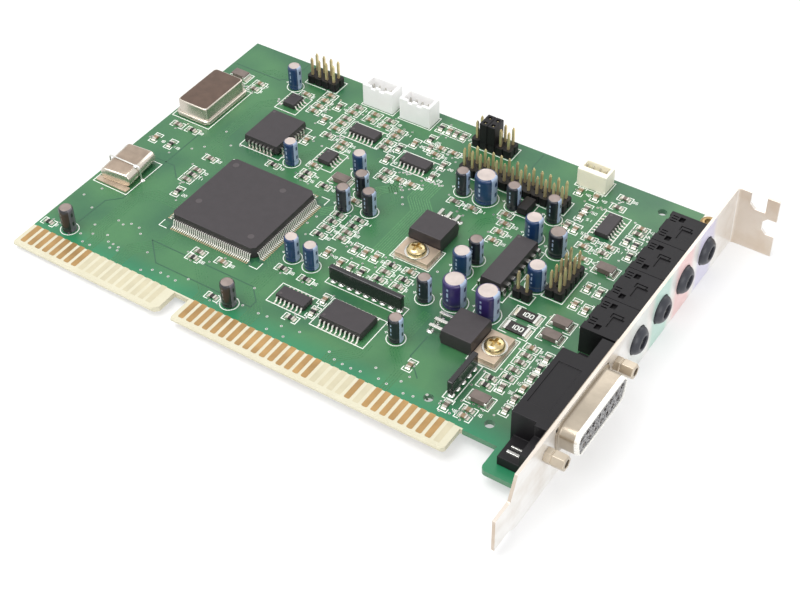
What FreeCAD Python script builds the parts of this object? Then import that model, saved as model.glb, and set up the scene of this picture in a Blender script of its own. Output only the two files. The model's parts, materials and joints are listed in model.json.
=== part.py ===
import FreeCAD, Part
import math
import os
import re
import Sketcher

# An expansion sound card, component side up: x runs towards its bracket, y away from its edge connector.
# Heights are counted from the component face of the board. All sizes are in millimetres.
sizes = {
    # Board and edge connector
    "board_thickness": 1.6,
    "board_far": 132.0,
    "board_near": 24.6,
    "board_top": 100.4,
    "board_low": 0.4,
    "tongue_drop": 7.2,
    "tongue_near": 2.6,
    "key_near": 78.4,
    "key_far": 83.2,
    "corner_tab_start": 12.7,
    "corner_tab_drop": 7.5,
    "corner_tab_radius": 1.5,
    "tongue_bevel": 0.5,
    "contact_pitch": 2.54,
    "contact_width": 1.6,
    "contact_top": 1.0,
    "contact_setback": 1.3,
    "contact_thickness": 0.06,
    "second_row_start": 86.8,
    # Bracket
    "sheet_thickness": 0.86,
    "bracket_gap": 0.74,
    "bracket_low": 5.2,
    "bracket_width": 18.42,
    "bracket_tip": 23.4,
    "bracket_shoulder": 14.2,
    "shoulder_slope": 2.8,
    "bracket_tongue_width": 10.19,
    "bracket_tongue_sink": 2.3,
    "flange_height": 99.9,
    "flange_reach": 11.4,
    "fold_radius": 0.9,
    "notch_start": 3.6,
    "notch_width": 4.4,
    "notch_depth": 5.0,
    "hook_depth": 3.7,
    "hook_low": 6.6,
    "hook_width": 5.2,
    "ear_reach": 7.0,
    "ear_drop": 0.3,
    "ear_width": 6.2,
    # Audio jacks
    "jack_drop": 18.2,
    "jack_pitch": 12.65,
    "jack_width": 12.5,
    "jack_depth": 11.74,
    "jack_height": 8.4,
    "jack_axis": 5.2,
    "nose_radius": 3.8,
    "nose_length": 1.8,
    "nose_clearance": 0.2,
    "jack_bore": 1.8,
    "jack_bore_depth": 13.4,
    "jack_slot_depth": 0.8,
    "jack_window_depth": 0.3,
    # Game port
    "port_drop": 84.5,
    "port_axis": 7.4,
    "port_body_depth": 11.0,
    "port_body_width": 24.0,
    "port_body_height": 10.5,
    "port_flange_width": 39.2,
    "port_flange_depth": 3.9,
    "port_shelf_height": 2.8,
    "port_shelf_depth": 9.6,
    "port_panel_width": 15.0,
    "port_panel_depth": 6.0,
    "port_panel_sink": 0.25,
    "shell_plate": 0.5,
    "shell_plate_height": 9.8,
    "shell_width": 25.0,
    "shell_height": 7.9,
    "shell_slant": 1.4,
    "shell_reach": 5.5,
    "shell_wall": 0.5,
    "shell_radius": 2.4,
    "shell_clearance": 0.25,
    "insulator_setback": 0.3,
    "jackscrew_spacing": 33.3,
    "jackscrew_across": 3.6,
    "jackscrew_length": 5.3,
    "jackscrew_bore": 1.1,
    "jackscrew_bore_depth": 4.2,
    "clip_width": 3.0,
    "clip_thickness": 0.4,
    "clip_rise": 1.2,
    # Headers and small connectors
    "header_pitch": 2.54,
    "header_base": 2.5,
    "header_pin": 0.64,
    "header_pin_top": 8.4,
    "jumper_height": 6.2,
    "jumper_gap": 0.06,
    "jumper_well": 1.0,
    "audio_plug_length": 10.2,
    "audio_plug_depth": 5.6,
    "audio_plug_height": 7.2,
    "audio_plug_wall": 0.9,
    "audio_plug_floor": 1.6,
    "audio_plug_slot": 1.5,
    "audio_plug_slot_drop": 0.8,
    "telephone_plug_length": 8.8,
    "telephone_plug_depth": 5.4,
    "telephone_plug_height": 5.8,
    # Moulded chips
    "mould_taper": 7.0,
    "main_chip_side": 28.0,
    "main_chip_top": 3.58,
    "main_chip_corner": 1.2,
    "main_lead_pitch": 0.65,
    "main_lead_width": 0.3,
    "main_lead_reach": 1.6,
    "memory_length": 13.97,
    "memory_width": 11.43,
    "memory_top": 3.4,
    "memory_lead_pitch": 1.27,
    "memory_lead_width": 0.55,
    "memory_lead_reach": 0.5,
    "small_chip_width": 3.9,
    "small_chip_top": 1.7,
    "small_lead_pitch": 1.27,
    "small_lead_width": 0.42,
    "small_lead_reach": 1.05,
    "wide_chip_width": 7.5,
    "wide_chip_top": 2.5,
    "wide_lead_reach": 1.4,
    "lead_thickness": 0.2,
    "chip_standoff": 0.15,
    "amplifier_length": 19.3,
    "amplifier_width": 6.35,
    "amplifier_standoff": 0.6,
    "amplifier_top": 4.5,
    "amplifier_lead_pitch": 2.54,
    "amplifier_lead_width": 1.3,
    "amplifier_lead_reach": 0.75,
    # Regulators
    "regulator_width": 10.2,
    "regulator_body": 9.2,
    "regulator_top": 4.5,
    "tab_length": 6.6,
    "tab_thickness": 1.3,
    "screw_setback": 2.9,
    "leg_pitch": 2.54,
    "leg_width": 0.9,
    "leg_thickness": 0.5,
    "leg_height": 2.4,
    "leg_reach": 4.4,
    "screw_head_radius": 2.8,
    "screw_head_height": 1.9,
    # Resistor networks
    "network_top": 5.2,
    "network_bottom": 0.9,
    "network_thickness": 1.6,
    "network_pitch": 2.54,
    "network_margin": 0.95,
    "network_pin_width": 0.6,
    # Oscillator, crystal and its strap
    "oscillator_length": 19.4,
    "oscillator_width": 12.0,
    "oscillator_height": 5.3,
    "oscillator_rim": 0.7,
    "oscillator_rim_height": 0.6,
    "oscillator_corner": 1.6,
    "crystal_length": 12.8,
    "crystal_width": 9.8,
    "crystal_height": 4.2,
    "crystal_edge": 1.7,
    "crystal_standoff": 0.3,
    "crystal_foot": 1.6,
    "crystal_foot_rim": 0.5,
    "crystal_foot_height": 0.8,
    "strap_gap": 0.3,
    "strap_width": 0.7,
    "strap_thickness": 0.4,
    "strap_foot": 0.8,
    # Capacitors
    "sleeve_flats": 12,
    "capacitor_height": 7.6,
    "capacitor_radius": 2.0,
    "medium_capacitor_radius": 2.5,
    "large_capacitor_radius": 3.15,
    "large_capacitor_height": 8.5,
    # Surface mount parts
    "chip_length": 2.0,
    "chip_width": 1.25,
    "chip_height": 0.55,
    "wide_resistor_length": 6.3,
    "wide_resistor_width": 3.2,
    "wide_resistor_height": 0.6,
    "inductor_length": 5.0,
    "inductor_width": 3.0,
    "inductor_height": 1.6,
    "choke_length": 5.4,
    "choke_width": 3.0,
    "choke_height": 2.4,
}

doc = FreeCAD.newDocument("isa_sound_card")
sheet = doc.addObject("Spreadsheet::Sheet", "sizes")
for row, (alias, number) in enumerate(sizes.items(), start=1):
    sheet.set("A%d" % row, alias)
    sheet.set("B%d" % row, str(number))
    sheet.setAlias("B%d" % row, alias)
doc.recompute()

nodes = []


def size(alias):
    return float(getattr(sheet, alias))


def from_sheet(formula):
    return re.sub(r"[a-z][a-z_]+", lambda word: "sizes." + word.group(), str(formula))


def bind(thing, path, formula):
    thing.setExpression(path, from_sheet(formula))


def as_node(thing, label):
    thing.Label = label
    nodes.append(thing)
    return thing


# Document helpers: bodies, sketches and primitives whose sizes follow the sheet
def new_body(label):
    return as_node(doc.addObject("PartDesign::Body", label), label)


def new_sketch(body, name, role, offset="0"):
    sketch = body.newObject("Sketcher::SketchObject", name)
    plane = [feature for feature in body.Origin.OriginFeatures if feature.Role == role][0]
    sketch.AttachmentSupport = (plane, "")
    sketch.MapMode = "FlatFace"
    bind(sketch, "AttachmentOffset.Base.z", offset)
    return sketch


def pin_point(sketch, geometry, place, point):
    for axis, formula in zip("XY", point):
        index = sketch.addConstraint(Sketcher.Constraint("Distance" + axis, -1, 1, geometry, place, 1.0))
        bind(sketch, "Constraints[%d]" % index, formula)


def draw_outline(sketch, points):
    first = sketch.GeometryCount
    count = len(points)
    for step in range(count):
        turn = 2 * math.pi / count
        start = FreeCAD.Vector(math.cos(step * turn), math.sin(step * turn), 0)
        end = FreeCAD.Vector(math.cos((step + 1) * turn), math.sin((step + 1) * turn), 0)
        sketch.addGeometry(Part.LineSegment(start, end))
    for step in range(count):
        after = first + (step + 1) % count
        sketch.addConstraint(Sketcher.Constraint("Coincident", first + step, 2, after, 1))
    for step, point in enumerate(points):
        pin_point(sketch, first + step, 1, point)


def draw_rectangle(sketch, left, low, right, high):
    draw_outline(sketch, [(left, low), (right, low), (right, high), (left, high)])


def draw_circle(sketch, across, up, radius):
    index = sketch.addGeometry(Part.Circle(FreeCAD.Vector(0, 0, 0), FreeCAD.Vector(0, 0, 1), 1.0))
    pin_point(sketch, index, 3, (across, up))
    constraint = sketch.addConstraint(Sketcher.Constraint("Radius", index, 1.0))
    bind(sketch, "Constraints[%d]" % constraint, radius)


def add_pad(body, sketch, length, reverse=False, taper="0"):
    pad = body.newObject("PartDesign::Pad", sketch.Name + "_pad")
    pad.Profile = sketch
    bind(pad, "Length", length)
    bind(pad, "TaperAngle", taper)
    pad.Reversed = reverse
    doc.recompute()
    return pad


def cut_pocket(body, sketch, depth, reverse=False):
    pocket = body.newObject("PartDesign::Pocket", sketch.Name + "_pocket")
    pocket.Profile = sketch
    bind(pocket, "Length", depth)
    pocket.Reversed = reverse
    before = body.Shape.Volume
    doc.recompute()
    if body.Shape.Volume >= before:
        raise RuntimeError("pocket %s removed nothing" % pocket.Name)
    return pocket


def round_edges(body, kind, choose, radius):
    base = body.Tip
    names = ["Edge%d" % (index + 1) for index, edge in enumerate(base.Shape.Edges) if choose(edge)]
    name = "%s_%s_%d" % (body.Name, kind.lower(), len(body.Group))
    rounding = body.newObject("PartDesign::" + kind, name)
    rounding.Base = (base, names)
    bind(rounding, "Radius" if kind == "Fillet" else "Size", radius)
    doc.recompute()
    return rounding


def runs_along(edge, axis, **at):
    if edge.Curve.TypeId != "Part::GeomLine":
        return False
    if abs(getattr(edge.Curve.Direction, axis)) < 0.99:
        return False
    middle = edge.CenterOfMass
    return all(abs(getattr(middle, name) - place) < 0.01 for name, place in at.items())


def new_box(name, x, y, z, length, width, height):
    block = doc.addObject("Part::Box", name)
    for path, formula in zip(("Length", "Width", "Height"), (length, width, height)):
        bind(block, path, formula)
    for axis, formula in zip("xyz", (x, y, z)):
        bind(block, "Placement.Base." + axis, formula)
    return block


def subtract(name, base, tool):
    remainder = doc.addObject("Part::Cut", name)
    remainder.Base = base
    remainder.Tool = tool
    return remainder


def group(label, solids):
    feature = doc.addObject("Part::Feature", label)
    feature.Shape = Part.makeCompound(solids)
    return as_node(feature, label)


def block(x, y, z, length, width, height):
    return Part.makeBox(length, width, height, FreeCAD.Vector(x, y, z))


def turned(shape, degrees, x, y):
    copy = shape.copy()
    copy.rotate(FreeCAD.Vector(0, 0, 0), FreeCAD.Vector(0, 0, 1), degrees)
    copy.translate(FreeCAD.Vector(x, y, 0))
    return copy


# Board: two edge tongues, the key between them and the lower corner under the game port
def make_board():
    body = new_body("pcb")
    outline = new_sketch(body, "board_outline", "XY_Plane")
    draw_outline(outline, [
        ("-board_far", "-tongue_drop"),
        ("-key_far", "-tongue_drop"),
        ("-key_far", "board_low"),
        ("-key_near", "board_low"),
        ("-key_near", "-tongue_drop"),
        ("tongue_near", "-tongue_drop"),
        ("tongue_near", "board_low"),
        ("corner_tab_start", "board_low"),
        ("corner_tab_start", "-corner_tab_drop"),
        ("board_near", "-corner_tab_drop"),
        ("board_near", "board_top"),
        ("-board_far", "board_top"),
    ])
    add_pad(body, outline, "board_thickness", reverse=True)
    corner = {"x": size("corner_tab_start"), "y": -size("corner_tab_drop")}
    round_edges(body, "Fillet", lambda edge: runs_along(edge, "z", **corner), "corner_tab_radius")
    lowest = {"y": -size("tongue_drop")}
    round_edges(body, "Chamfer", lambda edge: runs_along(edge, "x", **lowest), "tongue_bevel")


# Gold contacts: bare places in each row are left out
first_row_bare = (1, 10, 12, 13, 14, 15)
second_row_used = range(11, 19)


def make_contacts():
    low = -size("tongue_drop") + size("contact_setback")
    pitch = size("contact_pitch")
    width = size("contact_width")
    thickness = size("contact_thickness")
    height = size("contact_top") - low
    fingers = []
    for number in range(1, 32):
        left = -(number - 1) * pitch - width / 2
        if number not in first_row_bare:
            fingers.append(block(left, low, 0, width, height, thickness))
    for number in second_row_used:
        left = -size("second_row_start") - (number - 1) * pitch - width / 2
        fingers.append(block(left, low, 0, width, height, thickness))
    group("gold_contacts", fingers)


# Bracket: one folded strip with a flange, an ear on the board, and cut-outs for the jacks and the game port
inner_face = "(board_near + bracket_gap)"
outer_face = "(board_near + bracket_gap + sheet_thickness)"
bracket_high = "(bracket_width - bracket_low)"
bracket_middle = "(bracket_width / 2 - bracket_low)"
port_centre = "(flange_height - port_drop)"


def port_outline(grow):
    half = "(shell_width / 2 + (%s))" % grow
    narrow = "(shell_width / 2 - shell_slant + (%s))" % grow
    rise = "(shell_height / 2 + (%s))" % grow
    return [
        (port_centre + " - " + narrow, "port_axis - " + rise),
        (port_centre + " + " + narrow, "port_axis - " + rise),
        (port_centre + " + " + half, "port_axis + " + rise),
        (port_centre + " - " + half, "port_axis + " + rise),
    ]


def jack_centre(index):
    return "(flange_height - jack_drop - %d * jack_pitch)" % index


def make_bracket():
    body = new_body("bracket")
    fold = new_sketch(body, "bracket_fold", "XY_Plane", "-bracket_low")
    draw_outline(fold, [
        (inner_face, "-bracket_tip"),
        (outer_face, "-bracket_tip"),
        (outer_face, "flange_height"),
        (outer_face + " + flange_reach", "flange_height"),
        (outer_face + " + flange_reach", "flange_height + sheet_thickness"),
        (inner_face, "flange_height + sheet_thickness"),
    ])
    add_pad(body, fold, "bracket_width")
    inside = size("board_near") + size("bracket_gap")
    outside = inside + size("sheet_thickness")
    under = size("flange_height")
    over = under + size("sheet_thickness")
    round_edges(body, "Fillet", lambda edge: runs_along(edge, "z", x=outside, y=under), "fold_radius")
    round_edges(body, "Fillet", lambda edge: runs_along(edge, "z", x=inside, y=over),
                "fold_radius + sheet_thickness")
    tongue = new_sketch(body, "bracket_tongue", "YZ_Plane", inner_face)
    for side in (-1, 1):
        edge = "(%s + (%d) * bracket_width)" % (bracket_middle, side)
        wide = "(%s + (%d) * bracket_width / 2)" % (bracket_middle, side)
        slim = "(%s - bracket_tongue_sink + (%d) * bracket_tongue_width / 2)" % (bracket_middle, side)
        draw_outline(tongue, [
            ("-bracket_tip - sheet_thickness", slim),
            ("-bracket_shoulder - shoulder_slope", slim),
            ("-bracket_shoulder", wide),
            ("-bracket_shoulder", edge),
            ("-bracket_tip - sheet_thickness", edge),
        ])
    cut_pocket(body, tongue, "sheet_thickness", reverse=True)
    notch = new_sketch(body, "flange_notches", "XZ_Plane", "-flange_height")
    left = "(%s + notch_start)" % outer_face
    floor = "(%s - notch_depth)" % bracket_high
    draw_outline(notch, [
        (left, bracket_high + " + sheet_thickness"),
        (left, floor + " + notch_width / 3"),
        (left + " + notch_width / 3", floor),
        (left + " + notch_width", floor),
        (left + " + notch_width", bracket_high + " + sheet_thickness"),
    ])
    end = "(%s + flange_reach)" % outer_face
    top = "(%s - hook_low)" % bracket_high
    draw_outline(notch, [
        (end + " + sheet_thickness", top),
        (end + " - hook_depth + hook_width / 4", top),
        (end + " - hook_depth", top + " - hook_width / 4"),
        (end + " - hook_depth", top + " - hook_width * 3 / 4"),
        (end + " - hook_depth + hook_width / 4", top + " - hook_width"),
        (end + " + sheet_thickness", top + " - hook_width"),
    ])
    cut_pocket(body, notch, "sheet_thickness")
    windows = new_sketch(body, "bracket_windows", "YZ_Plane", inner_face)
    for index in range(4):
        draw_circle(windows, jack_centre(index), "jack_axis", "nose_radius + nose_clearance")
    draw_outline(windows, port_outline("shell_clearance"))
    cut_pocket(body, windows, "sheet_thickness", reverse=True)
    ear = new_sketch(body, "bracket_ear", "XY_Plane")
    draw_rectangle(ear, inner_face + " - ear_reach", "flange_height - ear_drop - ear_width",
                   inner_face + " + sheet_thickness / 2", "flange_height - ear_drop")
    add_pad(body, ear, "sheet_thickness")


# Audio jacks: a moulded housing behind the bracket with a round nose through it
jack_names = ("line_in_jack", "microphone_jack", "line_out_jack", "speaker_jack")


def make_jacks():
    for index, label in enumerate(jack_names):
        body = new_body(label)
        centre = jack_centre(index)
        rear = "(%s - jack_depth)" % inner_face
        housing = new_sketch(body, label + "_housing", "XY_Plane")
        draw_rectangle(housing, rear, centre + " - jack_width / 2",
                       inner_face, centre + " + jack_width / 2")
        add_pad(body, housing, "jack_height")
        nose = new_sketch(body, label + "_nose", "YZ_Plane", inner_face)
        draw_circle(nose, centre, "jack_axis", "nose_radius")
        add_pad(body, nose, "sheet_thickness + nose_length")
        bore = new_sketch(body, label + "_bore", "YZ_Plane", outer_face + " + nose_length")
        draw_circle(bore, centre, "jack_axis", "jack_bore")
        cut_pocket(body, bore, "jack_bore_depth")
        slots = new_sketch(body, label + "_slots", "XY_Plane", "jack_height")
        for side in (-1, 1):
            middle = "(%s + (%d) * jack_width / 3)" % (centre, side)
            draw_rectangle(slots, rear + " + jack_depth / 4", middle + " - jack_width / 14",
                           rear + " + jack_depth * 3 / 8", middle + " + jack_width / 14")
        cut_pocket(body, slots, "jack_slot_depth")
        window = new_sketch(body, label + "_window", "XY_Plane", "jack_height")
        draw_rectangle(window, rear + " + jack_depth * 4 / 9", centre + " - jack_width / 4",
                       rear + " + jack_depth * 7 / 10", centre + " + jack_width / 12")
        cut_pocket(body, window, "jack_window_depth")


# Game port: moulded body, steel shell through the bracket, insulator and two hexagon jackscrews
def make_game_port():
    body = new_body("game_port_body")
    front = "(%s - shell_plate)" % inner_face
    flange = "(%s - port_flange_depth)" % front
    rear = "(%s - port_body_depth)" % inner_face
    low = "(%s - port_body_width / 2)" % port_centre
    high = "(%s + port_body_width / 2)" % port_centre
    far_low = "(%s - port_flange_width / 2)" % port_centre
    far_high = "(%s + port_flange_width / 2)" % port_centre
    block_sketch = new_sketch(body, "port_block", "XY_Plane")
    draw_outline(block_sketch, [
        (rear, low), (flange, low), (flange, far_low), (front, far_low),
        (front, far_high), (flange, far_high), (flange, high), (rear, high),
    ])
    add_pad(body, block_sketch, "port_body_height")
    shelf = new_sketch(body, "port_shelf", "XY_Plane")
    draw_rectangle(shelf, "%s - port_shelf_depth" % front, far_low, front, far_high)
    add_pad(body, shelf, "port_shelf_height")
    panel = new_sketch(body, "port_panel", "XY_Plane", "port_body_height")
    draw_rectangle(panel, rear + " + port_panel_sink * 6",
                   port_centre + " - port_panel_width / 2",
                   rear + " + port_panel_sink * 6 + port_panel_depth",
                   port_centre + " + port_panel_width / 2")
    cut_pocket(body, panel, "port_panel_sink")

    shell = new_body("game_port_shell")
    plate = new_sketch(shell, "shell_plate_outline", "YZ_Plane", front)
    draw_rectangle(plate, far_low, "port_axis - shell_plate_height / 2",
                   far_high, "port_axis + shell_plate_height / 2")
    add_pad(shell, plate, "shell_plate")
    tube = new_sketch(shell, "shell_tube", "YZ_Plane", front)
    draw_outline(tube, port_outline("0"))
    add_pad(shell, tube, "shell_plate + sheet_thickness + shell_reach")
    opening = new_sketch(shell, "shell_opening", "YZ_Plane", front)
    draw_outline(opening, port_outline("-shell_wall"))
    cut_pocket(shell, opening, "shell_plate + sheet_thickness + shell_reach", reverse=True)

    def at_rise(edge, rise):
        height = abs(edge.CenterOfMass.z - size("port_axis"))
        return runs_along(edge, "x") and abs(height - rise) < 0.01

    outer_rise = size("shell_height") / 2
    inner_rise = outer_rise - size("shell_wall")
    round_edges(shell, "Fillet", lambda edge: at_rise(edge, inner_rise), "shell_radius - shell_wall")
    round_edges(shell, "Fillet", lambda edge: at_rise(edge, outer_rise), "shell_radius")

    insulator = new_body("game_port_insulator")
    face = new_sketch(insulator, "insulator_face", "YZ_Plane", front)
    draw_outline(face, port_outline("-shell_wall - shell_clearance"))
    add_pad(insulator, face, "shell_plate + sheet_thickness + shell_reach - insulator_setback")
    round_edges(insulator, "Chamfer", lambda edge: runs_along(edge, "x"), "shell_radius / 2")

    posts = []
    for side, name in ((-1, "low"), (1, "high")):
        post = doc.addObject("Part::Prism", "jackscrew_" + name)
        post.Polygon = 6
        bind(post, "Circumradius", "jackscrew_across / 1.7320508")
        bind(post, "Height", "jackscrew_length")
        hole = doc.addObject("Part::Cylinder", "jackscrew_hole_" + name)
        bind(hole, "Radius", "jackscrew_bore")
        bind(hole, "Height", "jackscrew_bore_depth")
        for piece, start in ((post, outer_face),
                             (hole, outer_face + " + jackscrew_length - jackscrew_bore_depth")):
            flat_up = FreeCAD.Rotation(FreeCAD.Vector(0, 0, 1), 30)
            piece.Placement.Rotation = FreeCAD.Rotation(FreeCAD.Vector(0, 1, 0), 90) * flat_up
            bind(piece, "Placement.Base.x", start)
            bind(piece, "Placement.Base.y", "%s + (%d) * jackscrew_spacing / 2" % (port_centre, side))
            bind(piece, "Placement.Base.z", "port_axis")
        posts.append(subtract("jackscrew_post_" + name, post, hole))
    pair = doc.addObject("Part::Compound", "game_port_jackscrews")
    pair.Links = posts
    as_node(pair, "game_port_jackscrews")

    clip = new_body("game_port_board_clip")
    clip_place = "-(%s + (port_flange_width - port_body_width) / 5)" % far_low
    strip = new_sketch(clip, "clip_strip", "XZ_Plane", clip_place)
    start = "(%s - port_shelf_depth * 2 / 3)" % front
    finish = "(%s - port_flange_depth)" % front
    draw_outline(strip, [
        (start, "port_shelf_height"),
        (finish, "port_shelf_height"),
        (finish, "port_shelf_height + clip_rise + clip_thickness"),
        (finish + " - clip_thickness", "port_shelf_height + clip_rise + clip_thickness"),
        (finish + " - clip_thickness", "port_shelf_height + clip_thickness"),
        (start, "port_shelf_height + clip_thickness"),
    ])
    add_pad(clip, strip, "clip_width", reverse=True)


# Pin headers: moulded bases, square pins and two push-on jumpers
header_places = {
    "aux_header_base": (-107.4, 92.3, 4, 2),
    "jumper_header_base": (-50.6, 92.5, 5, 2),
    "wave_header_base": (-47.2, 80.1, 13, 2),
    "speaker_header_base": (-3.1, 50.0, 2, 5),
    "link_header_base": (-9.9, 45.3, 2, 1),
}
jumper_columns = (1, 2)
audio_plug_places = {"cd_audio_plug": (-87.3, 92.3), "aux_audio_plug": (-74.6, 92.3)}
telephone_plug_place = (-17.2, 93.2)


def make_headers():
    pitch = size("header_pitch")
    pin = size("header_pin")
    base = size("header_base")
    pins = []
    for label, (x, y, columns, rows) in header_places.items():
        bar = new_box(label, x, y, "0", "%d * header_pitch" % columns, "%d * header_pitch" % rows,
                      "header_base")
        as_node(bar, label)
        for column in range(columns):
            for row in range(rows):
                left = x + (column + 0.5) * pitch - pin / 2
                low = y + (row + 0.5) * pitch - pin / 2
                pins.append(block(left, low, base, pin, pin, size("header_pin_top") - base))
    group("header_pins", pins)
    x, y = header_places["jumper_header_base"][:2]
    gap = size("jumper_gap")
    well = size("jumper_well")
    tall = size("jumper_height")
    caps = []
    for column in jumper_columns:
        cap = block(x + column * pitch + gap, y + gap, base, pitch - 2 * gap, 2 * pitch - 2 * gap, tall)
        for row in range(2):
            left = x + (column + 0.5) * pitch - well / 2
            low = y + (row + 0.5) * pitch - well / 2
            cap = cap.cut(block(left, low, base, well, well, tall))
        caps.append(cap)
    group("jumper_caps", caps)


def make_plugs():
    for label, (x, y) in audio_plug_places.items():
        body = new_body(label)
        outer = new_sketch(body, label + "_outer", "XY_Plane")
        right = "(%s + audio_plug_length)" % x
        back = "(%s + audio_plug_depth)" % y
        draw_rectangle(outer, x, y, right, back)
        add_pad(body, outer, "audio_plug_height")
        well = new_sketch(body, label + "_well", "XY_Plane", "audio_plug_height")
        draw_rectangle(well, "%s + audio_plug_wall" % x, "%s + audio_plug_wall" % y,
                       right + " - audio_plug_wall", back + " - audio_plug_wall")
        cut_pocket(body, well, "audio_plug_height - audio_plug_floor")
        slots = new_sketch(body, label + "_slots", "XZ_Plane", "-(%s)" % y)
        for share in (0.35, 0.65):
            middle = "(%s + %s * audio_plug_length)" % (x, share)
            draw_rectangle(slots, middle + " - audio_plug_slot / 2",
                           "audio_plug_height - audio_plug_slot_drop",
                           middle + " + audio_plug_slot / 2", "audio_plug_height + audio_plug_wall")
        cut_pocket(body, slots, "audio_plug_wall")
    x, y = telephone_plug_place
    body = new_body("telephone_plug")
    outer = new_sketch(body, "telephone_outer", "XY_Plane")
    right = "(%s + telephone_plug_length)" % x
    back = "(%s + telephone_plug_depth)" % y
    draw_rectangle(outer, x, y, right, back)
    add_pad(body, outer, "telephone_plug_height")
    well = new_sketch(body, "telephone_well", "XY_Plane", "telephone_plug_height")
    draw_rectangle(well, "%s + audio_plug_wall" % x, "%s + 2 * audio_plug_wall" % y,
                   right + " - audio_plug_wall", back + " - audio_plug_wall")
    cut_pocket(body, well, "telephone_plug_height - audio_plug_floor")


# Moulded chips: a tapered body above and below the parting line, with sloping leads down to the board
def moulded_chip(label, x, y, along, across, bottom, top, corner=None):
    body = new_body(label)
    middle = "((%s) + (%s)) / 2" % (bottom, top)
    for name, length, reverse in (("upper", "(%s) - (%s)" % (top, middle), False),
                                  ("lower", "(%s) - (%s)" % (middle, bottom), True)):
        half = new_sketch(body, "%s_%s" % (label, name), "XY_Plane", middle)
        left = "(%s - (%s) / 2)" % (x, along)
        right = "(%s + (%s) / 2)" % (x, along)
        low = "(%s - (%s) / 2)" % (y, across)
        high = "(%s + (%s) / 2)" % (y, across)
        if corner is None:
            draw_rectangle(half, left, low, right, high)
        else:
            draw_outline(half, [
                (left + " + " + corner, low), (right + " - " + corner, low),
                (right, low + " + " + corner), (right, high + " - " + corner),
                (right + " - " + corner, high), (left + " + " + corner, high),
                (left, high + " - " + corner), (left, low + " + " + corner),
            ])
        add_pad(body, half, length, reverse=reverse, taper="-mould_taper")
    return body


def sloping_lead(start, reach, height, width, thickness):
    corners = [(0, height), (reach, 0), (0, height - thickness)]
    points = [FreeCAD.Vector(start + across, -width / 2, up) for across, up in corners]
    side = Part.Face(Part.makePolygon(points + points[:1]))
    return side.extrude(FreeCAD.Vector(0, width, 0))


def lead_row(lead, count, pitch, degrees, x, y):
    leads = []
    for step in range(count):
        place = lead.copy()
        place.translate(FreeCAD.Vector(0, (step - (count - 1) / 2) * pitch, 0))
        leads.append(turned(place, degrees, x, y))
    return leads


def make_main_chip():
    x, y = -87.0, 35.1
    moulded_chip("main_chip_body", x, y, "main_chip_side", "main_chip_side", "chip_standoff",
                 "main_chip_top", "main_chip_corner")
    height = (size("chip_standoff") + size("main_chip_top")) / 2 + size("lead_thickness") / 2
    lead = sloping_lead(size("main_chip_side") / 2, size("main_lead_reach"), height,
                        size("main_lead_width"), size("lead_thickness"))
    leads = []
    for degrees in (0, 90, 180, 270):
        leads += lead_row(lead, 40, size("main_lead_pitch"), degrees, x, y)
    group("main_chip_leads", leads)


def make_memory_chip():
    x, y = -99.4, 65.9
    moulded_chip("memory_chip_body", x, y, "memory_width", "memory_length", "chip_standoff * 4",
                 "memory_top")
    middle = (size("chip_standoff") * 4 + size("memory_top")) / 2
    width = size("memory_lead_width")
    lead = block(0, -width / 2, 0, size("memory_lead_reach"), width, middle)
    leads = []
    for degrees, count, half in ((0, 9, "memory_width"), (90, 7, "memory_length"),
                                 (180, 9, "memory_width"), (270, 7, "memory_length")):
        side = lead.copy()
        side.translate(FreeCAD.Vector(size(half) / 2, 0, 0))
        leads += lead_row(side, count, size("memory_lead_pitch"), degrees, x, y)
    group("memory_chip_leads", leads)


# Small outline chips: name, centre, leads on a side, and whether the long side runs along y
small_chips = [
    ("clock_chip_body", -104.6, 81.5, 4, True),
    ("switch_chip_body", -80.8, 65.5, 4, True),
    ("buffer_chip_body", -78.3, 80.3, 7, False),
    ("gate_chip_body", -58.8, 76.7, 7, False),
    ("opamp_chip_body", -1.25, 81.6, 7, True),
    ("logic_chip_body", -55.5, 14.5, 7, False),
    ("codec_chip_body", -39.3, 15.2, 10, False),
]


def make_small_chips():
    leads = []
    for label, x, y, count, upright in small_chips:
        wide = count == 10
        width = "wide_chip_width" if wide else "small_chip_width"
        top = "wide_chip_top" if wide else "small_chip_top"
        reach = size("wide_lead_reach" if wide else "small_lead_reach")
        length = "(%d * small_lead_pitch)" % count
        along, across = (width, length) if upright else (length, width)
        moulded_chip(label, x, y, along, across, "chip_standoff", top)
        height = (size("chip_standoff") + size(top)) / 2 + size("lead_thickness") / 2
        lead = sloping_lead(size(width) / 2, reach, height, size("small_lead_width"),
                            size("lead_thickness"))
        for degrees in ((0, 180) if upright else (90, 270)):
            leads += lead_row(lead, count, size("small_lead_pitch"), degrees, x, y)
    group("small_chip_leads", leads)


def make_amplifier():
    x, y = -15.0, 53.0
    moulded_chip("amplifier_body", x, y, "amplifier_width", "amplifier_length", "amplifier_standoff",
                 "amplifier_top")
    height = (size("amplifier_standoff") + size("amplifier_top")) / 2
    lead = sloping_lead(size("amplifier_width") / 2, size("amplifier_lead_reach"), height,
                        size("amplifier_lead_width"), size("lead_thickness") * 1.5)
    leads = lead_row(lead, 8, size("amplifier_lead_pitch"), 0, x, y)
    leads += lead_row(lead, 8, size("amplifier_lead_pitch"), 180, x, y)
    group("amplifier_leads", leads)


# Regulators: laid flat on their tabs, legs bent down behind the body, each tab held by a screw
regulator_places = [("first", -38.5, 42.6, 90), ("second", -0.6, 26.5, 180)]


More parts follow.
